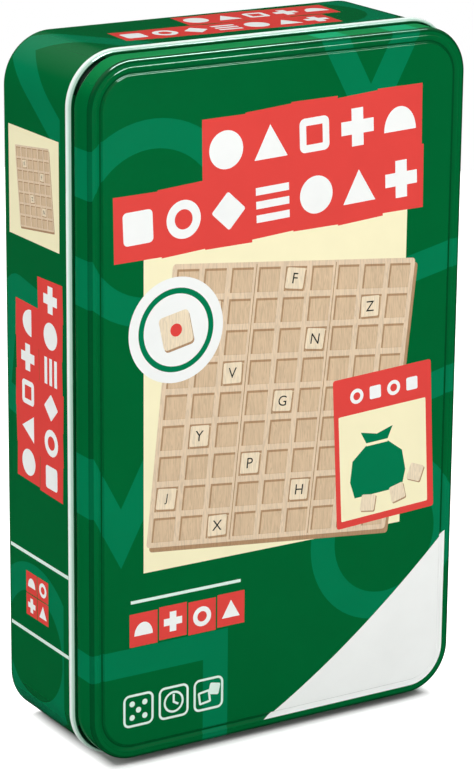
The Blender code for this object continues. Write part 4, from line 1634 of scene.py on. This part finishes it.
# The room is white to the camera and lights the case evenly
def makeWorld():
    world = bpy.data.worlds.new("studio")
    scene.world = world
    world.use_nodes = True
    world.node_tree.nodes.clear()
    g = Graph(world.node_tree)
    path = g.results("ShaderNodeLightPath")
    glossy = path["Is Glossy Ray"]
    height = g.axes(g.shade("TexCoord", None, "Generated"))[2]
    light = glossy * g.mapRange(height, *studio["mirroredRoom"]) + (1.0 - glossy) * studio["roomLight"]
    seen = g.calc("MAXIMUM", path["Is Camera Ray"], path["Is Transmission Ray"])
    room = g.shade("Background", {"Color": (1, 1, 1, 1), "Strength": g.calc("MAXIMUM", seen, light)})
    g.node("ShaderNodeOutputWorld", {0: room})


# Soft boxes: place, aim, width, height, power and the way that the width runs
softBoxes = {
    "topSoftbox": ((0.10, 0.20, 0.85), (0, 0, 0.1), 0.9, 0.5, 4.8, (1, 0, 0)),
    "leftFill": ((-0.90, -0.10, 0.35), (0, 0, 0.1), 0.6, 0.7, 3.0, (0, 1, 0)),
    "frontFill": ((0.15, -1.10, 0.02), (0, 0, 0.06), 0.8, 0.5, 8.6, (1, 0, 0)),
    "backFill": ((0.15, 1.00, 0.25), (0, 0, 0.1), 0.9, 0.6, 5.5, (1, 0, 0)),
}

# Strips end to end that show only as thin highlights along the lid's upper edges, weaker to the right.
# Each part has a shift along the row, a length and a power
strips = {
    "place": (0.20, -0.31, 0.95),
    "along": (0.97, 0.24, -0.10),
    "aim": (0, -0.02, 0.19),
    "width": 0.22,
    "colour": (0.70, 1.0, 0.90),
    "parts": {
        "frontStrip": (-0.067, 0.704, 23.5),
        "frontStripMiddle": (0.325, 0.083, 1.1),
        "frontStripEnd": (0.393, 0.052, 0.25),
    },
}


# A lamp either lights the case or only shows in its gloss
def makeLamp(name, place, aim, width, height, power, along, onlyGloss=False, colour=(1, 1, 1)):
    data = bpy.data.lights.new(name, "AREA")
    data.shape = "RECTANGLE"
    data.size, data.size_y = width, height
    data.energy = power
    data.color = colour
    made = addPiece(name, data)
    rear = (Vector(place) - Vector(aim)).normalized()
    side = rear.cross(Vector(along)).normalized()
    turn = Matrix((side.cross(rear), side, rear)).transposed()
    made.matrix_world = Matrix.Translation(place) @ turn.to_4x4()
    made.visible_glossy = onlyGloss
    made.visible_diffuse = not onlyGloss
    made.visible_camera = False


def makeLights():
    for name, values in softBoxes.items():
        makeLamp(name, *values)
    along = Vector(strips["along"])
    for name, (shift, length, power) in strips["parts"].items():
        place = Vector(strips["place"]) + along * shift
        makeLamp(name, place, strips["aim"], length, strips["width"], power, along, True, strips["colour"])


makeCamera()
makeFloor()
makeWorld()
makeLights()
print("studio ready")

printedTin = printedTinMaterial("printedTin", 0.5)
skirtTin = printedTinMaterial("skirtTin", 0.05)
bareTin = bareTinMaterial()
makeLid(printedTin, bareTin, skirtTin)
print("lid ready")
makeWall(printedTin, bareTin)
makeBase(bareTin)
print("case ready")
makeBoards(woodMaterial("gridWood", 300.0), woodMaterial("plywood", 260.0, 1000.0), nickelMaterial())
makeTiles(tileMaterial())
print("boards and tiles ready")
makeLeaflet(paperMaterial())
makeBag(clothMaterial())
makeStitches(threadMaterial("bagThread"))
makeCord(threadMaterial("cordCotton"))
print("leaflet and bag ready")
